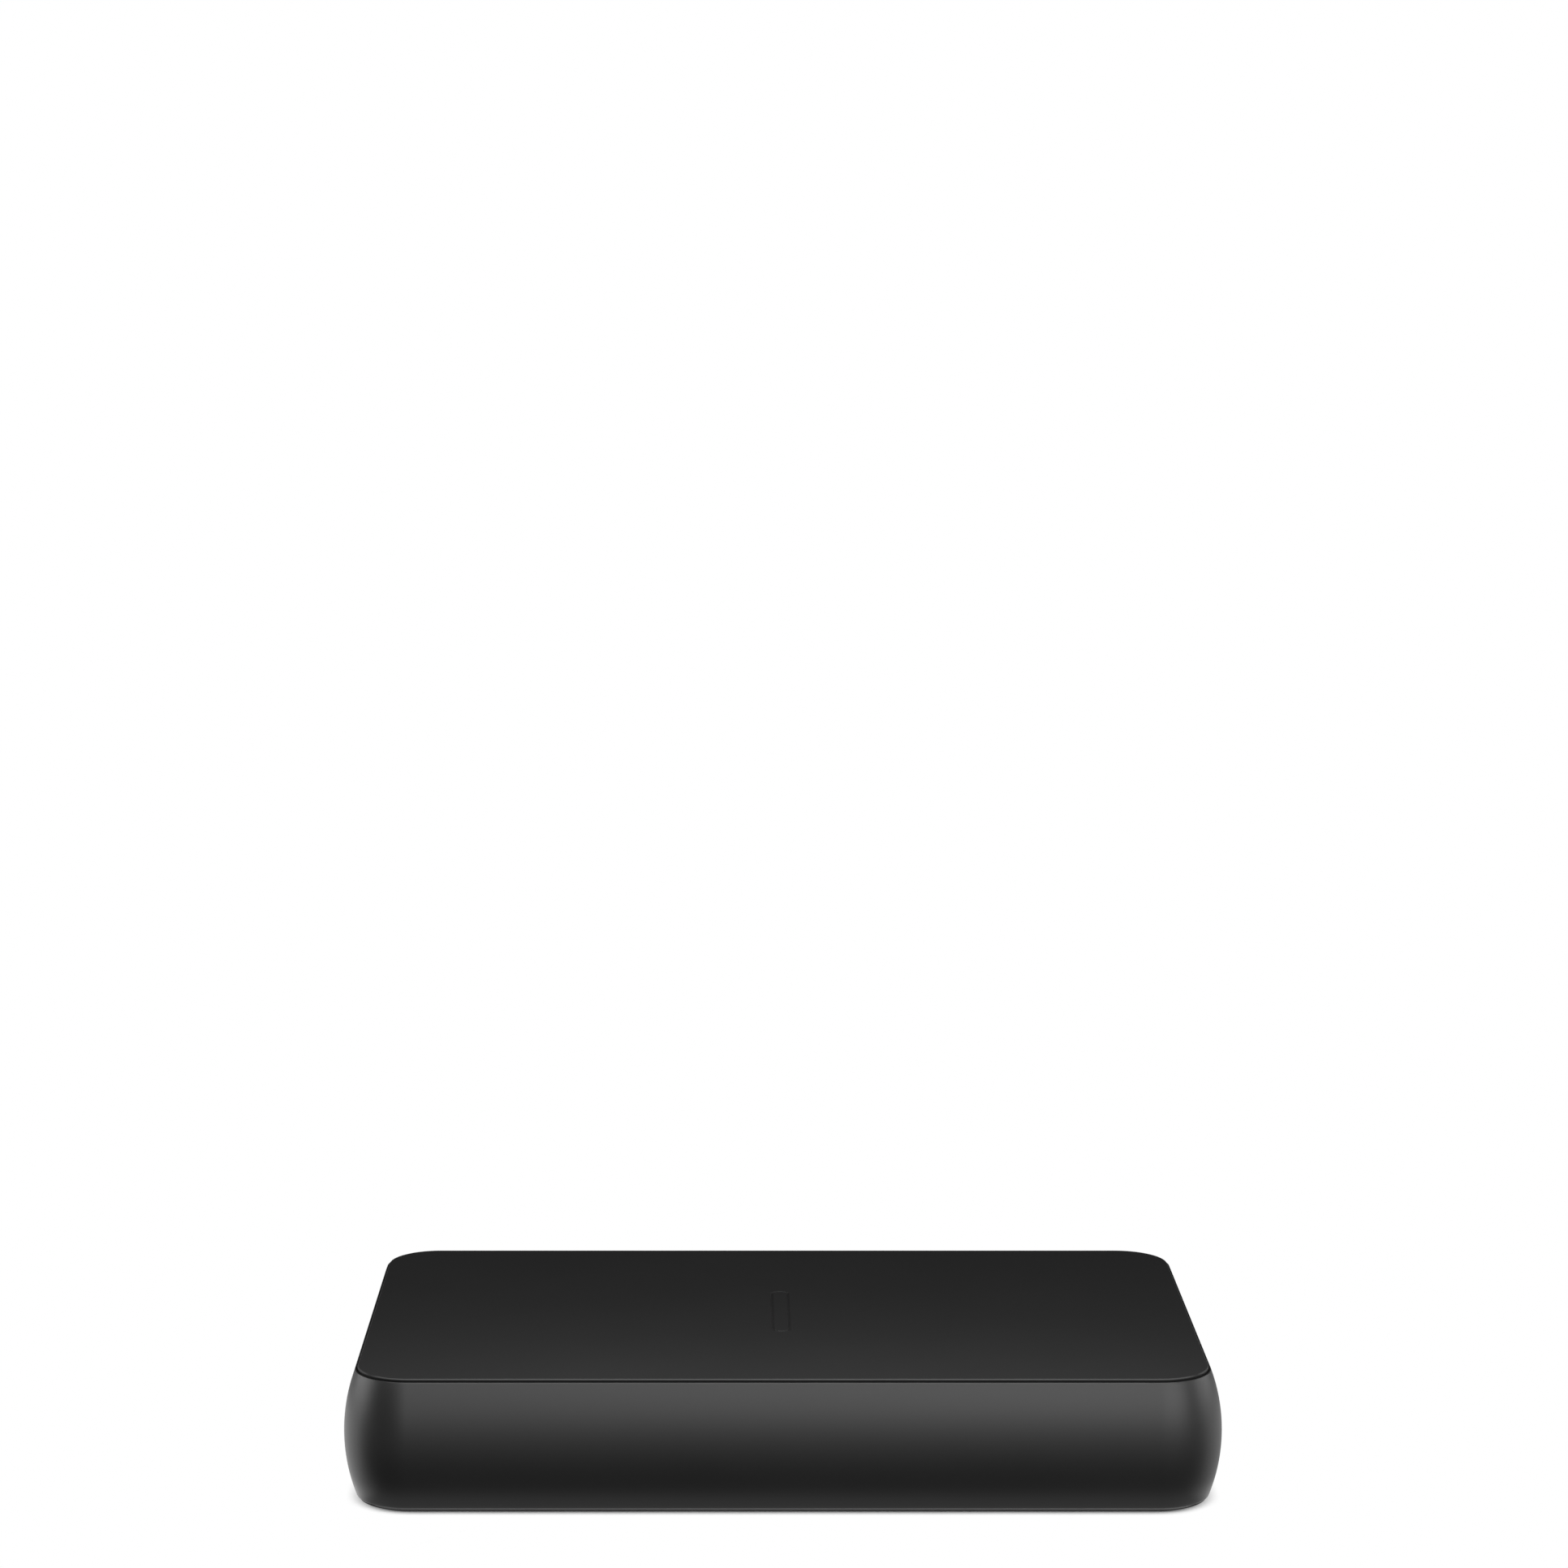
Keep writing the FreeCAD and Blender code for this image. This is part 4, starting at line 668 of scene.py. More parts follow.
# %% Side band
CORNER_STEPS = 48
band = grow("side_band_shell", band_tree(), {
    "Length": EDGE_LENGTH * MM, "Width": EDGE_WIDTH * MM, "Corner": EDGE_CORNER * MM, "Corner Steps": CORNER_STEPS,
    "Section": band_curve, "Openings": openings, "Pocket": pocket, "Material": finishes["band_soft_touch"]})
for helper in (band_curve, openings, pocket):
    bpy.data.objects.remove(helper)
hand_over(band, "housing", "band_soft_touch", "side_band", crease=14)

# %% [markdown]
# ## The covers
#
# Each cover is a thin plate with a softened edge, bonded into the rebate of the band, and it stands a little
# proud, which draws the dark seam and the fine bright line round the top; the cover's finish adds painted shade
# to the seam and a painted highlight to the line. A sweep makes the edge and the locating rib below it, two
# filled outlines close the faces, and a tube along a pill shape is taken out of the top plate, which leaves a
# plain round-bottomed groove at the middle of the charging face.

# %% Section of a cover
COVER_INSET = 0.33
COVER_THICK, COVER_ROUND, COVER_BEVEL, COVER_MARGIN = 1.05, 0.18, 0.1, 0.05
RIB_INSET, RIB_WALL, RIB_DEPTH = 1.52, 1.0, 1.6
PLATE_INSET = 4.0


def cover_section():
    """Over the soft edge, down the side, along the inner face and round the rib, from the plate's path."""
    under = TOP - COVER_THICK
    points = [(-PLATE_INSET, TOP), (-COVER_ROUND - COVER_MARGIN, TOP)]
    points += arc((-COVER_ROUND, TOP - COVER_ROUND), COVER_ROUND, 90, 0, 10)
    points += [(0, under + COVER_BEVEL), (-COVER_BEVEL, under), (-RIB_INSET, under), (-RIB_INSET, under - RIB_DEPTH),
               (-RIB_INSET - RIB_WALL, under - RIB_DEPTH), (-RIB_INSET - RIB_WALL, under), (-PLATE_INSET, under)]
    return [(offset + PLATE_INSET, height) for offset, height in points]


cover_curve = section_curve("cover_section", cover_section(), False)
print("cover section", len(cover_section()), "points")

# %% Tree for a cover
GROOVE_SIDES = 24
MERGE_WITHIN = 3 * MICRON


def lifted(wire, geometry, height):
    lift = wire.node("ShaderNodeCombineXYZ", {}, {"Z": height})
    return wire.node("GeometryNodeTransform", {}, {"Geometry": geometry, "Translation": lift})


def filled(wire, path, height, turned):
    """A path filled with one face at a height."""
    face = wire.node("GeometryNodeFillCurve", {"mode": "NGONS"}, {"Curve": path})
    if turned:
        face = wire.node("GeometryNodeFlipFaces", {}, {"Mesh": face})
    return lifted(wire, face, height)


def groove(wire, given):
    """A tube along a pill shape, which cuts a round-bottomed groove."""
    line = rounded_path(wire, *[given[size] for size in ("Mark Width", "Mark Length", "Mark Corner", "Corner Steps")])
    ring = wire.node("GeometryNodeCurvePrimitiveCircle", {},
                     {"Resolution": GROOVE_SIDES, "Radius": given["Groove Radius"]})
    return lifted(wire, sweep(wire, line, ring), given["Groove Height"])


def cover_tree():
    """A cover: its swept edge, its two faces and, where wanted, the groove."""
    sizes = ("Length", "Width", "Corner", "Show Height", "Inner Height", "Mark Width", "Mark Length",
             "Mark Corner", "Groove Radius", "Groove Height")
    tree, given = new_tree("cover_plate", {**{name: "Float" for name in sizes}, "Corner Steps": "Int",
                                           "Section": "Object", "Grooved": "Bool", "Material": "Material"})
    wire = given["Length"]
    path = rounded_path(wire, wire, given["Width"], given["Corner"], given["Corner Steps"])
    edge = sweep(wire, path, thing(wire, given["Section"]))
    faces = [filled(wire, path, given["Show Height"], False), filled(wire, path, given["Inner Height"], True)]
    whole = wire.node("GeometryNodeJoinGeometry", {}, {0: [edge] + faces})
    plate = wire.node("GeometryNodeMergeByDistance", {}, {"Geometry": whole, "Distance": MERGE_WITHIN})
    cut = without(wire, plate, groove(wire, given))
    chosen = wire.node("GeometryNodeSwitch", {"input_type": "GEOMETRY"},
                       {"Switch": given["Grooved"], "False": plate, "True": cut})
    return close_tree(tree, chosen, given["Material"])


# %% Top cover and bottom cover
MARK_WIDTH, MARK_LENGTH, MARK_CORNER = 2.35, 21.55, 1.1
GROOVE_HALF, GROOVE_DEPTH = 0.225, 0.15
GROOVE_RADIUS = (GROOVE_HALF ** 2 + GROOVE_DEPTH ** 2) / (2 * GROOVE_DEPTH)
plate_tree = cover_tree()


def grow_cover(name, grooved):
    inset = COVER_INSET + PLATE_INSET
    return grow(name, plate_tree, {
        "Length": (EDGE_LENGTH - 2 * inset) * MM, "Width": (EDGE_WIDTH - 2 * inset) * MM,
        "Corner": (EDGE_CORNER - inset) * MM, "Corner Steps": CORNER_STEPS, "Section": cover_curve,
        "Show Height": TOP * MM, "Inner Height": (TOP - COVER_THICK) * MM, "Mark Width": MARK_WIDTH * MM,
        "Mark Length": MARK_LENGTH * MM, "Mark Corner": MARK_CORNER * MM, "Groove Radius": GROOVE_RADIUS * MM,
        "Groove Height": (TOP + GROOVE_RADIUS - GROOVE_DEPTH) * MM, "Grooved": grooved,
        "Material": finishes["cover_soft_touch"]})


top_plate = grow_cover("top_cover_plate", True)
bottom_plate = grow_cover("bottom_cover_plate", False)
for vertex in bottom_plate.data.vertices:
    vertex.co.z = TOP * MM - vertex.co.z
bottom_plate.data.flip_normals()
bpy.data.objects.remove(cover_curve)
hand_over(top_plate, "housing", "cover_soft_touch", "top_cover")

# %% [markdown]
# ## Posts and hooks
#
# The bottom cover carries what holds the inside together: two hollow posts that take the board's screws, and two
# snap hooks that catch the tray. They never show, but the bare mesh of the plate should have them. A post is a
# skin over rings up its outside and down into its pilot hole; a hook is its side view carried along its width.
# A Boolean modifier then welds them to the plate, so that the cover is one closed mesh.

# %% Weld or cut with a modifier
def apply_modifiers(piece):
    """Give a piece the mesh that its modifiers make, and drop them."""
    mesh = plain_copy(piece)
    piece.modifiers.clear()
    piece.data = mesh


def carve(piece, tool, operation="DIFFERENCE"):
    """Cut a tool out of a piece, or weld it on, and drop the tool."""
    modifier = piece.modifiers.new("carve", "BOOLEAN")
    modifier.object = tool
    modifier.operation = operation
    modifier.solver = "EXACT"
    apply_modifiers(piece)
    bpy.data.objects.remove(tool)


# %% Posts and hooks of the bottom cover
FITTING_FOOT = 0.9
POST_X, POST_Y, POST_TOP = 42.55, 26.75, 5.5
POST_RADIUS, PILOT_RADIUS, PILOT_FLOOR = 2.2, 0.85, 1.9
HOOK_Y, HOOK_HALF = 18.0, 4.0
HOOK_SIDE = ((-57.65, FITTING_FOOT), (-56.65, FITTING_FOOT), (-56.65, 2.0), (-55.65, 2.0), (-55.65, 2.9),
             (-56.65, 2.9), (-56.65, 5.05), (-57.65, 5.05))
ROUND_SIDES = 40


def bottom_fittings():
    """Two posts and two hooks, whose feet lie inside the plate."""
    shape = bmesh.new()
    for side in (-1, 1):
        steps = ((POST_RADIUS, FITTING_FOOT), (POST_RADIUS, POST_TOP), (PILOT_RADIUS, POST_TOP),
                 (PILOT_RADIUS, PILOT_FLOOR))
        add_skin(shape, [[(x, y, z) for x, y in arc((POST_X, side * POST_Y), radius, 0, 360, ROUND_SIDES)[:-1]]
                         for radius, z in steps])
        add_skin(shape, [[(x, side * HOOK_Y + reach, z) for x, z in HOOK_SIDE]
                         for reach in (-HOOK_HALF, HOOK_HALF)])
    return helper_object("bottom_fittings", mesh_from("bottom_fittings", shape))


carve(bottom_plate, bottom_fittings(), "UNION")
hand_over(bottom_plate, "housing", "cover_soft_touch", "bottom_cover")

# %% [markdown]
# ## The button
#
# One oblong cap sits flush in its slot and follows the bulge of the wall; a flange behind it keeps it in, and a
# stem reaches the switch. All of its outlines are oblongs with equally many points, so one skin over rings, from
# the stem's tip to the middle of the cap, makes the whole moulding.

# %% Button
BUTTON = Outline(-21.5, MID_HEIGHT, 8.0, 3.4, 1.6)
BUTTON_ROUND = 0.25
CAP_INSETS = (0.5, 0.8, 1.1, 1.35, 1.55)
FLANGE, FLANGE_BACK, FLANGE_FRONT = 0.8, 58.4, 59.3
STEM_TIP, STEM_SIZE, STEM_CORNER = 55.35, 2.0, 0.97


def button_rings():
    """From the stem's tip over the flange and the cap's rounded edge to the middle of its face."""
    stem = oblong(BUTTON.y, BUTTON.z, STEM_SIZE, STEM_SIZE, STEM_CORNER)
    rings = [level(x, stem) for x in (STEM_TIP, FLANGE_BACK)]
    rings += [level(x, grown(BUTTON, FLANGE)) for x in (FLANGE_BACK, FLANGE_FRONT)]
    rings.append(level(FLANGE_FRONT, grown(BUTTON, 0)))
    rings += [flush_ring(BUTTON, -inset, depth) for inset, depth in quarter_round(BUTTON_ROUND, 90)]
    return rings + [flush_ring(BUTTON, -inset) for inset in CAP_INSETS]


def skin_piece(name, rings, slot, closed=False):
    """A piece made of one skin, in the finish of its slot."""
    shape = bmesh.new()
    add_skin(shape, rings, closed)
    piece = helper_object(name, mesh_from(name, shape))
    piece.data.materials.append(finishes[slot])
    return piece


button = skin_piece("status_button_cap", button_rings(), "button_soft_touch")
hand_over(button, "button", "button_soft_touch", "status_button", crease=40)

# %% [markdown]
# ## Port shells
#
# A port shell is folded from thin nickel-plated sheet. The large one has a mouth that flares out against the
# housing; the small one has bevelled lower corners. A closed run of rings goes along the outside, over the lip
# and back through the bore, so the sheet has its real thickness. Spring leaves are cut free on three sides and
# bent inwards, which is what grips a plug: a cutter takes out the slot, and the leaf's points are then moved.

# %% Metal for the ports
METAL_LINES, METAL_STAIN = 900, 260


def brushed(dark, light, roughness, stretch):
    """Rolled or drawn metal: fine lines along the direction with the smallest stretch."""
    def surface(place):
        along = place.node("ShaderNodeMapping", {}, {"Vector": place, "Scale": stretch})
        lines = noise(along, METAL_LINES, 4.0)
        stain = noise(place, METAL_STAIN, 3.0)
        return {
            "Base Color": blend_colours(lines, dark, light),
            "Roughness": roughness - 0.08 + 0.16 * lines + 0.08 * (stain - 0.5),
            "Normal": bump(lines, 4, 0.3),
        }
    return surface


METAL = {"Metallic": 1.0}
new_finish("port_steel", METAL, brushed((0.56, 0.56, 0.57), (0.70, 0.70, 0.71), 0.27, (0.12, 5, 5)))
new_finish("gilt_contact", METAL, brushed((0.72, 0.50, 0.20), (0.88, 0.66, 0.30), 0.24, (0.1, 6, 6)))

# %% Spring leaves of a shell
Leaves = namedtuple("Leaves", "places width length slot back drop")
PORT_DEPTH, SHEET = 0.7, 0.3
X_PORT = X_END - PORT_DEPTH
LEAF_STEPS, LEAF_CURL, NEAR = 8, 2.2, 0.01


def leaf_ends(leaves):
    """Root and free end of a spring leaf along x."""
    return X_PORT - leaves.back - leaves.length, X_PORT - leaves.back - leaves.slot


def leaf_cutter(leaves, low, high):
    """Slots round the leaves, cut through the sheet between two heights."""
    root, tip = leaf_ends(leaves)
    half, slot = leaves.width / 2, leaves.slot
    shape = bmesh.new()
    for y in leaves.places:
        outline = [(root, y - half - slot), (tip + slot, y - half - slot), (tip + slot, y + half + slot),
                   (root, y + half + slot), (root, y + half), (tip, y + half), (tip, y - half), (root, y - half)]
        add_skin(shape, [[(x, across, z) for x, across in outline] for z in (low, high)])
    return helper_object("leaf_cutter", mesh_from("leaf_cutter", shape))


def bend_leaves(piece, leaves):
    """Move each leaf's points towards the bore, most near its free end."""
    root, tip = leaf_ends(leaves)
    for vertex in piece.data.vertices:
        x, y, z = vertex.co / MM
        if root < x < tip + NEAR and any(abs(y - place) < leaves.width / 2 + NEAR for place in leaves.places):
            inwards = -1 if z > MID_HEIGHT else 1
            vertex.co.z += inwards * leaves.drop * MM * math.sin(LEAF_CURL * (x - root) / (tip - root))


def shell_line(lip, leaves, back):
    """A shell's full line: its outside with steps along the leaves, its lip, and the bore likewise."""
    root, tip = leaf_ends(leaves)
    steps = [root + (tip - root) * step / LEAF_STEPS for step in range(LEAF_STEPS + 1)]
    outside = [(back, 0)] + [(x, 0) for x in steps]
    return outside + lip + [(x, -SHEET) for x, _ in reversed(outside)]


# %% Large port shell
FLARE, BEND = 0.4, 0.1
USB_A_TUBE = Outline(4.0, MID_HEIGHT, 13.1, 5.7, 0.6)
USB_A_BACK = X_PORT - 14.0
USB_A_LEAVES = Leaves(places=(1.1, 6.9), width=1.9, length=5.0, slot=0.35, back=2.2, drop=0.3)
USB_A_CUT = 3.3


def flared_lip():
    """Flange, lip and mouth of the large shell as x and offset from its outline."""
    line = arc((X_PORT - SHEET - BEND, BEND), BEND, -90, 0, 4)
    line += arc((X_PORT - SHEET / 2, FLARE - SHEET / 2), SHEET / 2, 180, 0, 8)
    return line + arc((X_PORT - SHEET - BEND, BEND), SHEET + BEND, 0, -90, 8)


usb_a_line = shell_line(flared_lip(), USB_A_LEAVES, USB_A_BACK)
usb_a = skin_piece("usb_a_shell_sheet", [level(x, grown(USB_A_TUBE, offset)) for x, offset in usb_a_line],
                   "port_steel", closed=True)
carve(usb_a, leaf_cutter(USB_A_LEAVES, MID_HEIGHT - USB_A_CUT, MID_HEIGHT + USB_A_CUT))
bend_leaves(usb_a, USB_A_LEAVES)
hand_over(usb_a, "housing", "port_steel", "usb_a_shell")

# %% Small port shell
MICRO_HALF, MICRO_RISE, MICRO_BEVEL, MICRO_CORNER = 3.75, 1.25, 0.9, 0.36
MICRO_BACK = X_PORT - 5.6
MICRO_LEAVES = Leaves(places=(17.2, 20.8), width=0.9, length=1.8, slot=0.2, back=1.0, drop=0.12)
MICRO_CUT_LOW, MICRO_CUT_HIGH = 0.4, MICRO_RISE + 0.3


def eased(corners, radius, steps=6):
    """An anticlockwise outline with every corner replaced by an arc."""
    points = []
    for before, corner, after in zip(corners[-1:] + corners[:-1], corners, corners[1:] + corners[:1]):
        came = (Vector(corner) - Vector(before)).normalized()
        goes = (Vector(after) - Vector(corner)).normalized()
        facing = [Vector((way.y, -way.x)) for way in (came, goes)]
        centre = Vector(corner) - (facing[0] + facing[1]) * radius / (1 + facing[0].dot(facing[1]))
        start = math.degrees(math.atan2(facing[0].y, facing[0].x))
        points += arc(centre, radius, start, start + math.degrees(came.angle(goes)), steps)
    return points


def micro_outline(offset):
    """The small shell's outline, with bevelled lower corners, made larger on every side."""
    half, rise = MICRO_HALF + offset, MICRO_RISE + offset
    bevel = MICRO_BEVEL + (2 - math.sqrt(2)) * offset
    corners = [(-half + bevel, -rise), (half - bevel, -rise), (half, bevel - rise), (half, rise), (-half, rise),
               (-half, bevel - rise)]
    return eased([(MICRO.y + y, MICRO.z + z) for y, z in corners], MICRO_CORNER + offset)


rolled_lip = arc((X_PORT - SHEET / 2, -SHEET / 2), SHEET / 2, 90, -90, 10)
micro_line = shell_line(rolled_lip, MICRO_LEAVES, MICRO_BACK)
micro = skin_piece("micro_usb_shell_sheet", [level(x, micro_outline(offset)) for x, offset in micro_line],
                   "port_steel", closed=True)
carve(micro, leaf_cutter(MICRO_LEAVES, MID_HEIGHT + MICRO_CUT_LOW, MID_HEIGHT + MICRO_CUT_HIGH))
bend_leaves(micro, MICRO_LEAVES)
hand_over(micro, "housing", "port_steel", "micro_usb_shell")

# %% [markdown]
# ## Contacts in a row
#
# Each port has a row of equal gold-plated springs: along the tongue, through the insulating block, down its back
# and onto the board. One strip is drawn once, and Geometry Nodes put a copy on every point of a row, so the
# large port's uneven spacing and the small port's even pitch come from the same tree.

# %% Tree for a row of equal things
def row_tree():
    """A pattern on every point of a row, joined with what backs it."""
    tree, given = new_tree("row_of_equals", {"Places": "Object", "Pattern": "Object", "Backing": "Object",
                                             "Material": "Material"})
    wire = given["Places"]
    row = wire.node("GeometryNodeInstanceOnPoints", {},
                    {"Points": thing(wire, wire), "Instance": thing(wire, given["Pattern"])})
    real = wire.node("GeometryNodeRealizeInstances", {}, {0: row})
    whole = wire.node("GeometryNodeMeshBoolean", {"operation": "UNION", "solver": "EXACT"},
                      {"Mesh 2": [real, thing(wire, given["Backing"])]})
    return close_tree(tree, whole, given["Material"])


rows = row_tree()


def grow_row(name, places, pattern, backing, slot):
    """Copies of a pattern, drawn at y = 0, at each y of a row, together with what backs them."""
    spots = bpy.data.meshes.new("places")
    spots.from_pydata([(0, y * MM, 0) for y in places], [], [])
    meshes = {"Places": spots, "Pattern": pattern, "Backing": backing}
    helpers = {label: helper_object(label.lower(), mesh) for label, mesh in meshes.items()}
    piece = grow(name, rows, {**helpers, "Material": finishes[slot]})
    for helper in helpers.values():
        bpy.data.objects.remove(helper)
    return piece


# %% Contacts
CONTACT_THICK, CONTACT_TAIL, BOARD_TOP = 0.2, 1.6, 8.15
CONTACT_STEPS, BOW_LENGTH = 14, 5.0
MICRO_PITCH = 0.65
USB_A_CONTACTS = [USB_A.y + y for y in (-3.5, -1.0, 1.0, 3.5)]
MICRO_CONTACTS = [MICRO.y + MICRO_PITCH * (number - 2) for number in range(5)]


def contact_strip(width, tip, back, top, bow):
    """One strip as rings along its side view; it bows away from the tongue near its tip."""
    half = CONTACT_THICK / 2
    run = [tip + (back - half - tip) * step / CONTACT_STEPS for step in range(CONTACT_STEPS + 1)]
    path = [(x, top - half - bow * math.sin(math.pi * min((tip - x) / BOW_LENGTH, 1)) ** 2) for x in run]
    path += [(back - half, BOARD_TOP + half), (back - half - CONTACT_TAIL, BOARD_TOP + half)]
    rings = []
    for here, (x, z) in enumerate(path):
        came = Vector(path[here]) - Vector(path[here - 1]) if here else Vector(path[1]) - Vector(path[0])
        goes = Vector(path[here + 1]) - Vector(path[here]) if here + 1 < len(path) else came
        came, goes = came.normalized(), goes.normalized()
        facing = Vector((came.y + goes.y, -came.x - goes.x)) / (1 + came.dot(goes)) * half
        rings.append([(x + facing.x * side, across * width / 2, z + facing.y * side)
                      for side, across in ((1, -1), (1, 1), (-1, 1), (-1, -1))])
    shape = bmesh.new()
    add_skin(shape, rings)
    return mesh_from("contact_strip", shape)


def grow_contacts(name, places, pattern, node):
    piece = grow_row(name, places, pattern, bpy.data.meshes.new("none"), "gilt_contact")
    hand_over(piece, "housing", "gilt_contact", node)


usb_a_strip = contact_strip(width=1.0, tip=X_PORT - 1.1, back=USB_A_BACK, top=MID_HEIGHT + 0.06, bow=0.22)
micro_strip = contact_strip(width=0.35, tip=X_PORT - 0.9, back=MICRO_BACK, top=MID_HEIGHT + 0.1, bow=0.0)
grow_contacts("usb_a_contact_row", USB_A_CONTACTS, usb_a_strip, "usb_a_contacts")
grow_contacts("micro_usb_contact_row", MICRO_CONTACTS, micro_strip, "micro_usb_contacts")

# %% [markdown]
# ## Insulators
#
# The tongues and blocks are moulded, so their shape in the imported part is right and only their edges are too
# sharp. A copy of such a node is loose triangles: its doubles are merged and its flat faces joined, and then a
# Bevel modifier rounds every edge by a few hundredths of a millimetre.

# %% Moulded plastic
def moulded(grey, roughness, grain):
    """Moulded plastic: a fine spark-eroded texture and a faint cloud in the colour."""
    def surface(place):
        texture = noise(place, grain, 2.0)
        cloud = noise(place, 120, 3.0)
        return {
            "Base Color": blend_colours(cloud, [0.85 * part for part in grey], [1.15 * part for part in grey]),
            "Roughness": roughness - 0.04 + 0.08 * texture,
            "Normal": bump(texture, 6, 0.4),
        }
    return surface


new_finish("port_plastic", {}, moulded((0.018, 0.018, 0.02), 0.42, 4200))

# %% Insulators
FLAT_ANGLE, EDGE_ANGLE = math.radians(1), math.radians(40)


def soft_copy(node, name, slot, width):
    """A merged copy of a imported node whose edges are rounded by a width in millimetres."""
    shape = bmesh.new()
    shape.from_mesh(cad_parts[node].data)
    bmesh.ops.remove_doubles(shape, verts=shape.verts, dist=MICRON)
    bmesh.ops.dissolve_limit(shape, angle_limit=FLAT_ANGLE, verts=shape.verts, edges=shape.edges)
    piece = helper_object(name, mesh_from(name, shape))
    piece.data.materials.append(finishes[slot])
    bevel = piece.modifiers.new("soft_edges", "BEVEL")
    bevel.width = width * MM
    bevel.segments = 3
    bevel.limit_method = "ANGLE"
    bevel.angle_limit = EDGE_ANGLE
    apply_modifiers(piece)
    hand_over(piece, "housing", slot, node)


soft_copy("usb_a_insulator", "usb_a_tongue", "port_plastic", 0.1)
soft_copy("micro_usb_insulator", "micro_usb_tongue", "port_plastic", 0.05)

# %% [markdown]
# ## Charge level lights
#
# Four round windows stand flush with the wall and show the charge. They belong to one clear moulding: a bar
# behind the wall with a leg towards each light. The window with its leg is the pattern, the bar is the backing,
# and the row tree of the contacts joins them.

# %% Clear moulding with a slight haze
def hazy(place):
    cloud = noise(place, 900, 2.0)
    return {
        "Base Color": blend_colours(cloud, (0.44, 0.46, 0.48), (0.54, 0.56, 0.58)),
        "Roughness": 0.26 + 0.1 * cloud,
    }


new_finish("light_guide_clear", {"Transmission Weight": 0.35, "IOR": 1.49, "Coat Weight": 0.3}, hazy)

# %% Light guide
WINDOW_RADIUS, WINDOW_ROUND = 0.75, 0.1
GUIDE_BACK, GUIDE_FRONT, LEG_BACK = 57.8, 59.4, 54.65
BAR_LENGTH, BAR_HEIGHT, BAR_CORNER = 10.2, 2.0, 0.2
LEG_WIDTH, LEG_HEIGHT, LEG_CORNER = 1.6, 0.98, 0.1
OVERLAP = 0.2


def round_ring(x, radius):
    return level(x, arc((0, MID_HEIGHT), radius, 0, 360, ROUND_SIDES)[:-1])


def window_and_leg():
    """A round window in front of the bar and a leg behind it, both reaching into the bar."""
    shape = bmesh.new()
    edge = arc((X_END - WINDOW_ROUND, WINDOW_RADIUS - WINDOW_ROUND), WINDOW_ROUND, 90, 0, 6)
    add_skin(shape, [round_ring(*step) for step in [(GUIDE_FRONT - OVERLAP, WINDOW_RADIUS)] + edge])
    leg = oblong(0, MID_HEIGHT - LEG_HEIGHT / 2, LEG_WIDTH, LEG_HEIGHT, LEG_CORNER, 3)
    add_skin(shape, [level(x, leg) for x in (LEG_BACK, GUIDE_BACK + OVERLAP)])
    return mesh_from("window_and_leg", shape)


def guide_bar():
    shape = bmesh.new()
    outline = oblong(LIGHT_MIDDLE, MID_HEIGHT, BAR_LENGTH, BAR_HEIGHT, BAR_CORNER, 4)
    add_skin(shape, [level(x, outline) for x in (GUIDE_BACK, GUIDE_FRONT)])
    return mesh_from("guide_bar", shape)


guide = grow_row("light_guide_windows", LIGHT_PLACES, window_and_leg(), guide_bar(), "light_guide_clear")
hand_over(guide, "housing", "light_guide_clear", "led_light_guide")

# %% [markdown]
# ## Finishes of the inside
#
# What the covers hide still has to look like what it is when a cover is off. Two more kinds of surface are
# needed beside the moulded and the brushed one: cells, as in foam, and speckle, as in ferrite or in tape. The
# coil's wire is a rope of fine strands, so rings about its middle give it thread.

# %% Speckled, cellular and stranded surfaces
def speckled(dark, light, roughness, scale, depth):
    """Two colours mixed in grains, for tape, ceramic, ferrite and foil."""
    def surface(place):
        grains = noise(place, scale, 5.0)
        return {
            "Base Color": blend_colours(grains, dark, light),
            "Roughness": roughness - 0.08 + 0.16 * grains,
            "Normal": bump(grains, depth, 0.5),
        }
    return surface


def foam_cells(place):
    cells = place.node("ShaderNodeTexVoronoi", {"feature": "F1"}, {"Vector": place, "Scale": 2200.0})
    return {
        "Base Color": blend_colours(cells, (0.015, 0.015, 0.016), (0.05, 0.05, 0.052)),
        "Roughness": 0.85 + 0.1 * cells,
        "Normal": bump(cells, 80, 0.7),
    }


def strands(place):
    rings = place.node("ShaderNodeTexWave",
                       {"wave_type": "RINGS", "rings_direction": "Z", "wave_profile": "SIN"},
                       {"Vector": place, "Scale": 900.0, "Distortion": 0.6, "Detail": 1.0})
    return {
        "Base Color": blend_colours(rings, (0.42, 0.15, 0.06), (0.72, 0.33, 0.16)),
        "Roughness": 0.42 - 0.14 * rings,
        "Normal": bump(rings, 20, 0.6),
    }


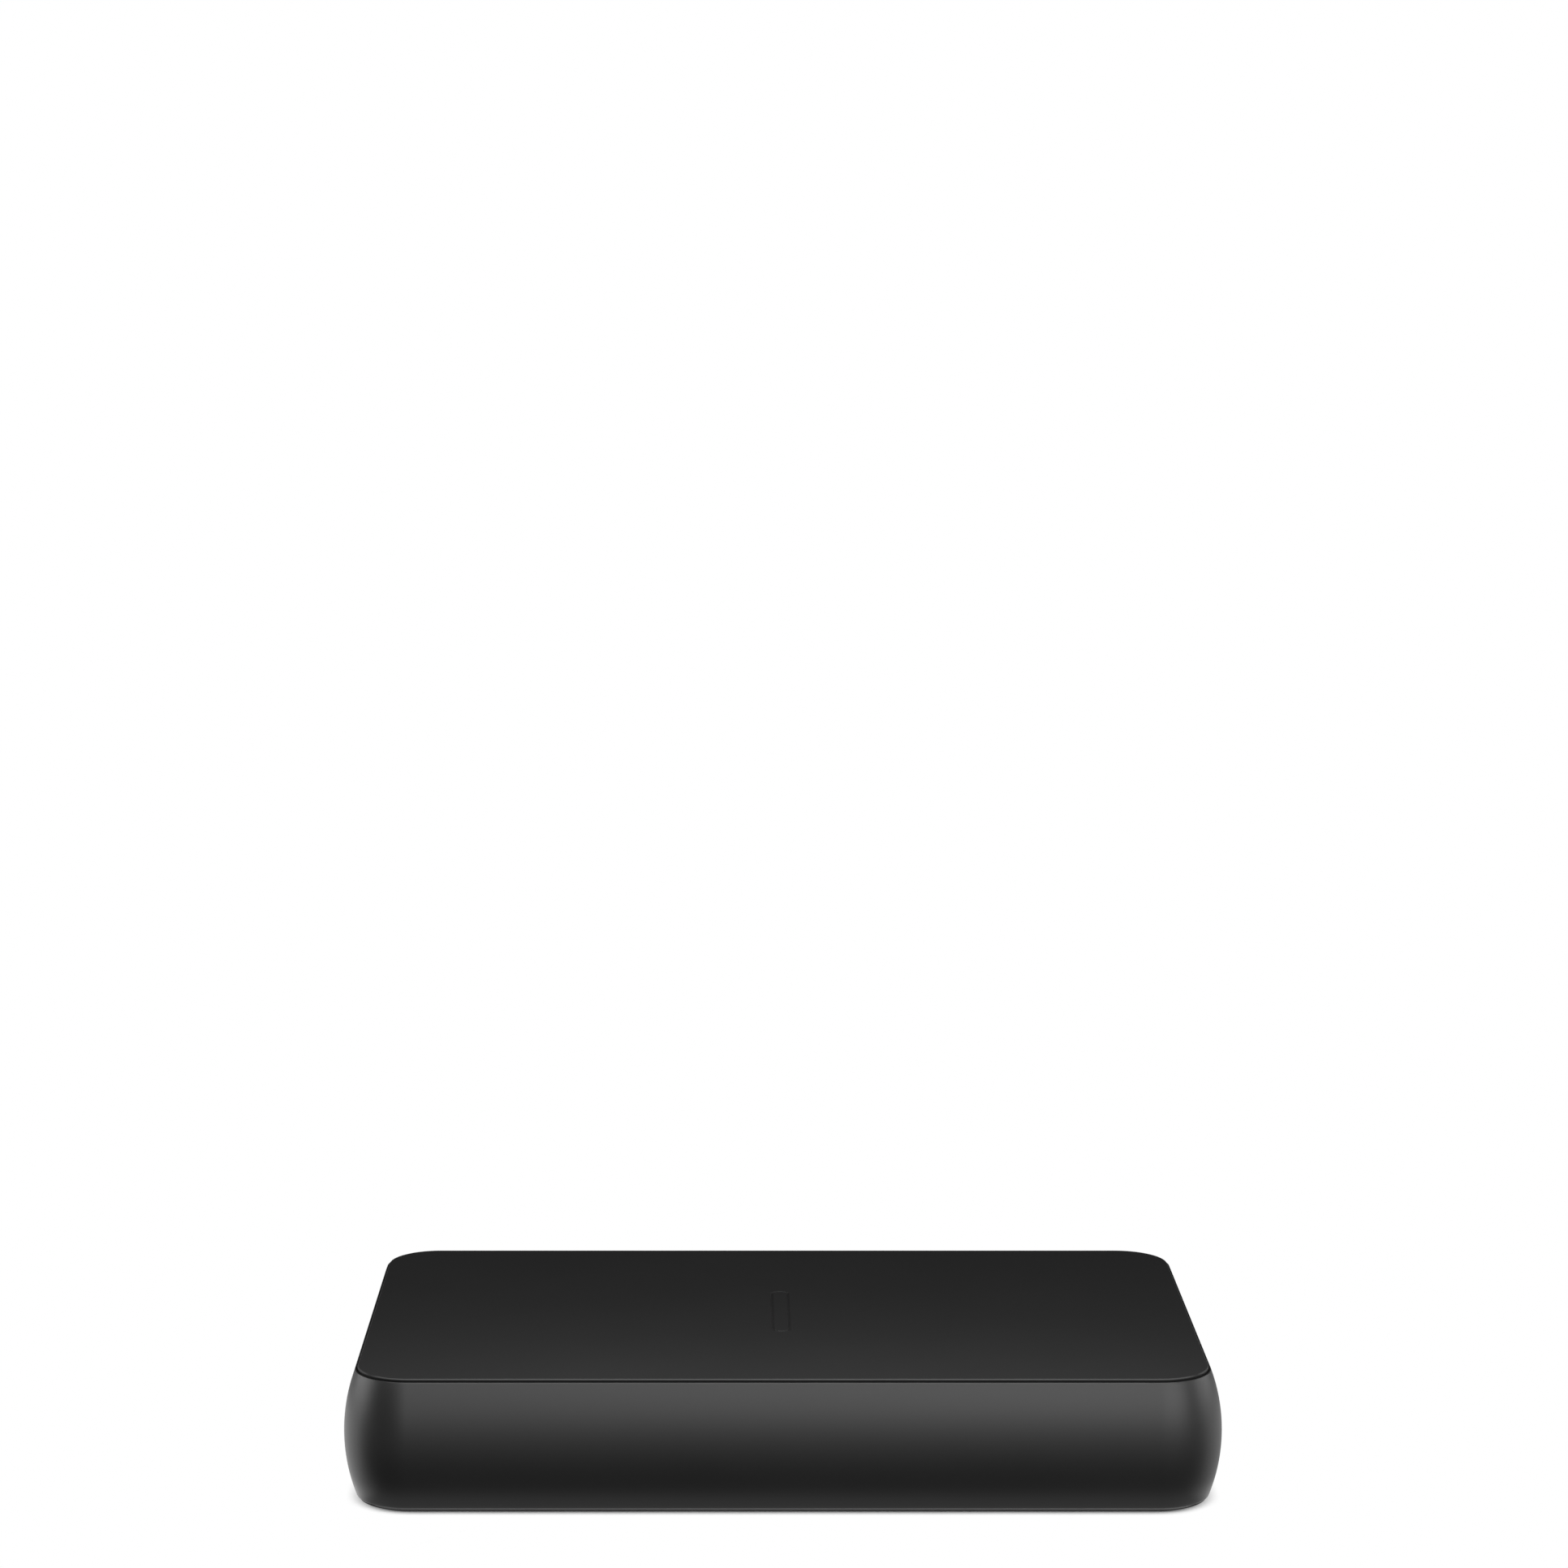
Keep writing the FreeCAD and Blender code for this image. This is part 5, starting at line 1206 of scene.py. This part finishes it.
def solder_mask(place):
    """Green lacquer over copper: wide straight tracks show as a lighter green."""
    field = place.node("ShaderNodeTexVoronoi", {"feature": "F1", "distance": "CHEBYCHEV"},
                       {"Vector": place, "Scale": 420.0})
    tracks = ramp(field, [(0.35, 0.0), (0.42, 1.0)])
    return {
        "Base Color": blend_colours(tracks, (0.004, 0.05, 0.02), (0.012, 0.12, 0.045)),
        "Roughness": 0.34 + 0.1 * noise(place, 700),
        "Normal": bump(tracks, 20, 0.5),
    }


# %% One finish for each slot that is left
new_finish("adhesive", {}, speckled((0.46, 0.43, 0.36), (0.60, 0.57, 0.50), 0.62, 1500, 10))
new_finish("foam", {}, foam_cells)
new_finish("inner_plastic", {}, moulded((0.022, 0.022, 0.023), 0.52, 3600))
new_finish("cell_foil", {"Metallic": 0.9}, speckled((0.40, 0.41, 0.43), (0.58, 0.59, 0.61), 0.40, 420, 30))
new_finish("nickel_strip", METAL, brushed((0.48, 0.46, 0.42), (0.64, 0.62, 0.57), 0.34, (0.2, 5, 5)))
new_finish("board_laminate", {"Coat Weight": 0.3}, solder_mask)
new_finish("screw_steel", METAL, brushed((0.42, 0.42, 0.43), (0.58, 0.58, 0.60), 0.32, (4, 4, 0.4)))
new_finish("copper_wire", {"Metallic": 0.75, "Coat Weight": 0.4}, strands)
new_finish("ferrite", {}, speckled((0.03, 0.03, 0.034), (0.075, 0.075, 0.08), 0.58, 2600, 10))
new_finish("chip_plastic", {}, moulded((0.014, 0.014, 0.014), 0.48, 6000))
new_finish("capacitor_ceramic", {}, speckled((0.34, 0.23, 0.13), (0.44, 0.31, 0.19), 0.40, 3200, 4))
new_finish("led_package", {}, speckled((0.70, 0.67, 0.50), (0.82, 0.80, 0.66), 0.30, 2400, 4))

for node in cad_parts.values():
    node.data.materials[0] = finishes[node.data.materials[0].name]
print(len(finishes), "finishes on", len(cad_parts), "nodes")

# %% [markdown]
# ## Last update
#
# The dressed object should fill the same box as its solids. This cell only brings the view layer up to date.

# %% Update the view layer
bpy.context.view_layer.update()
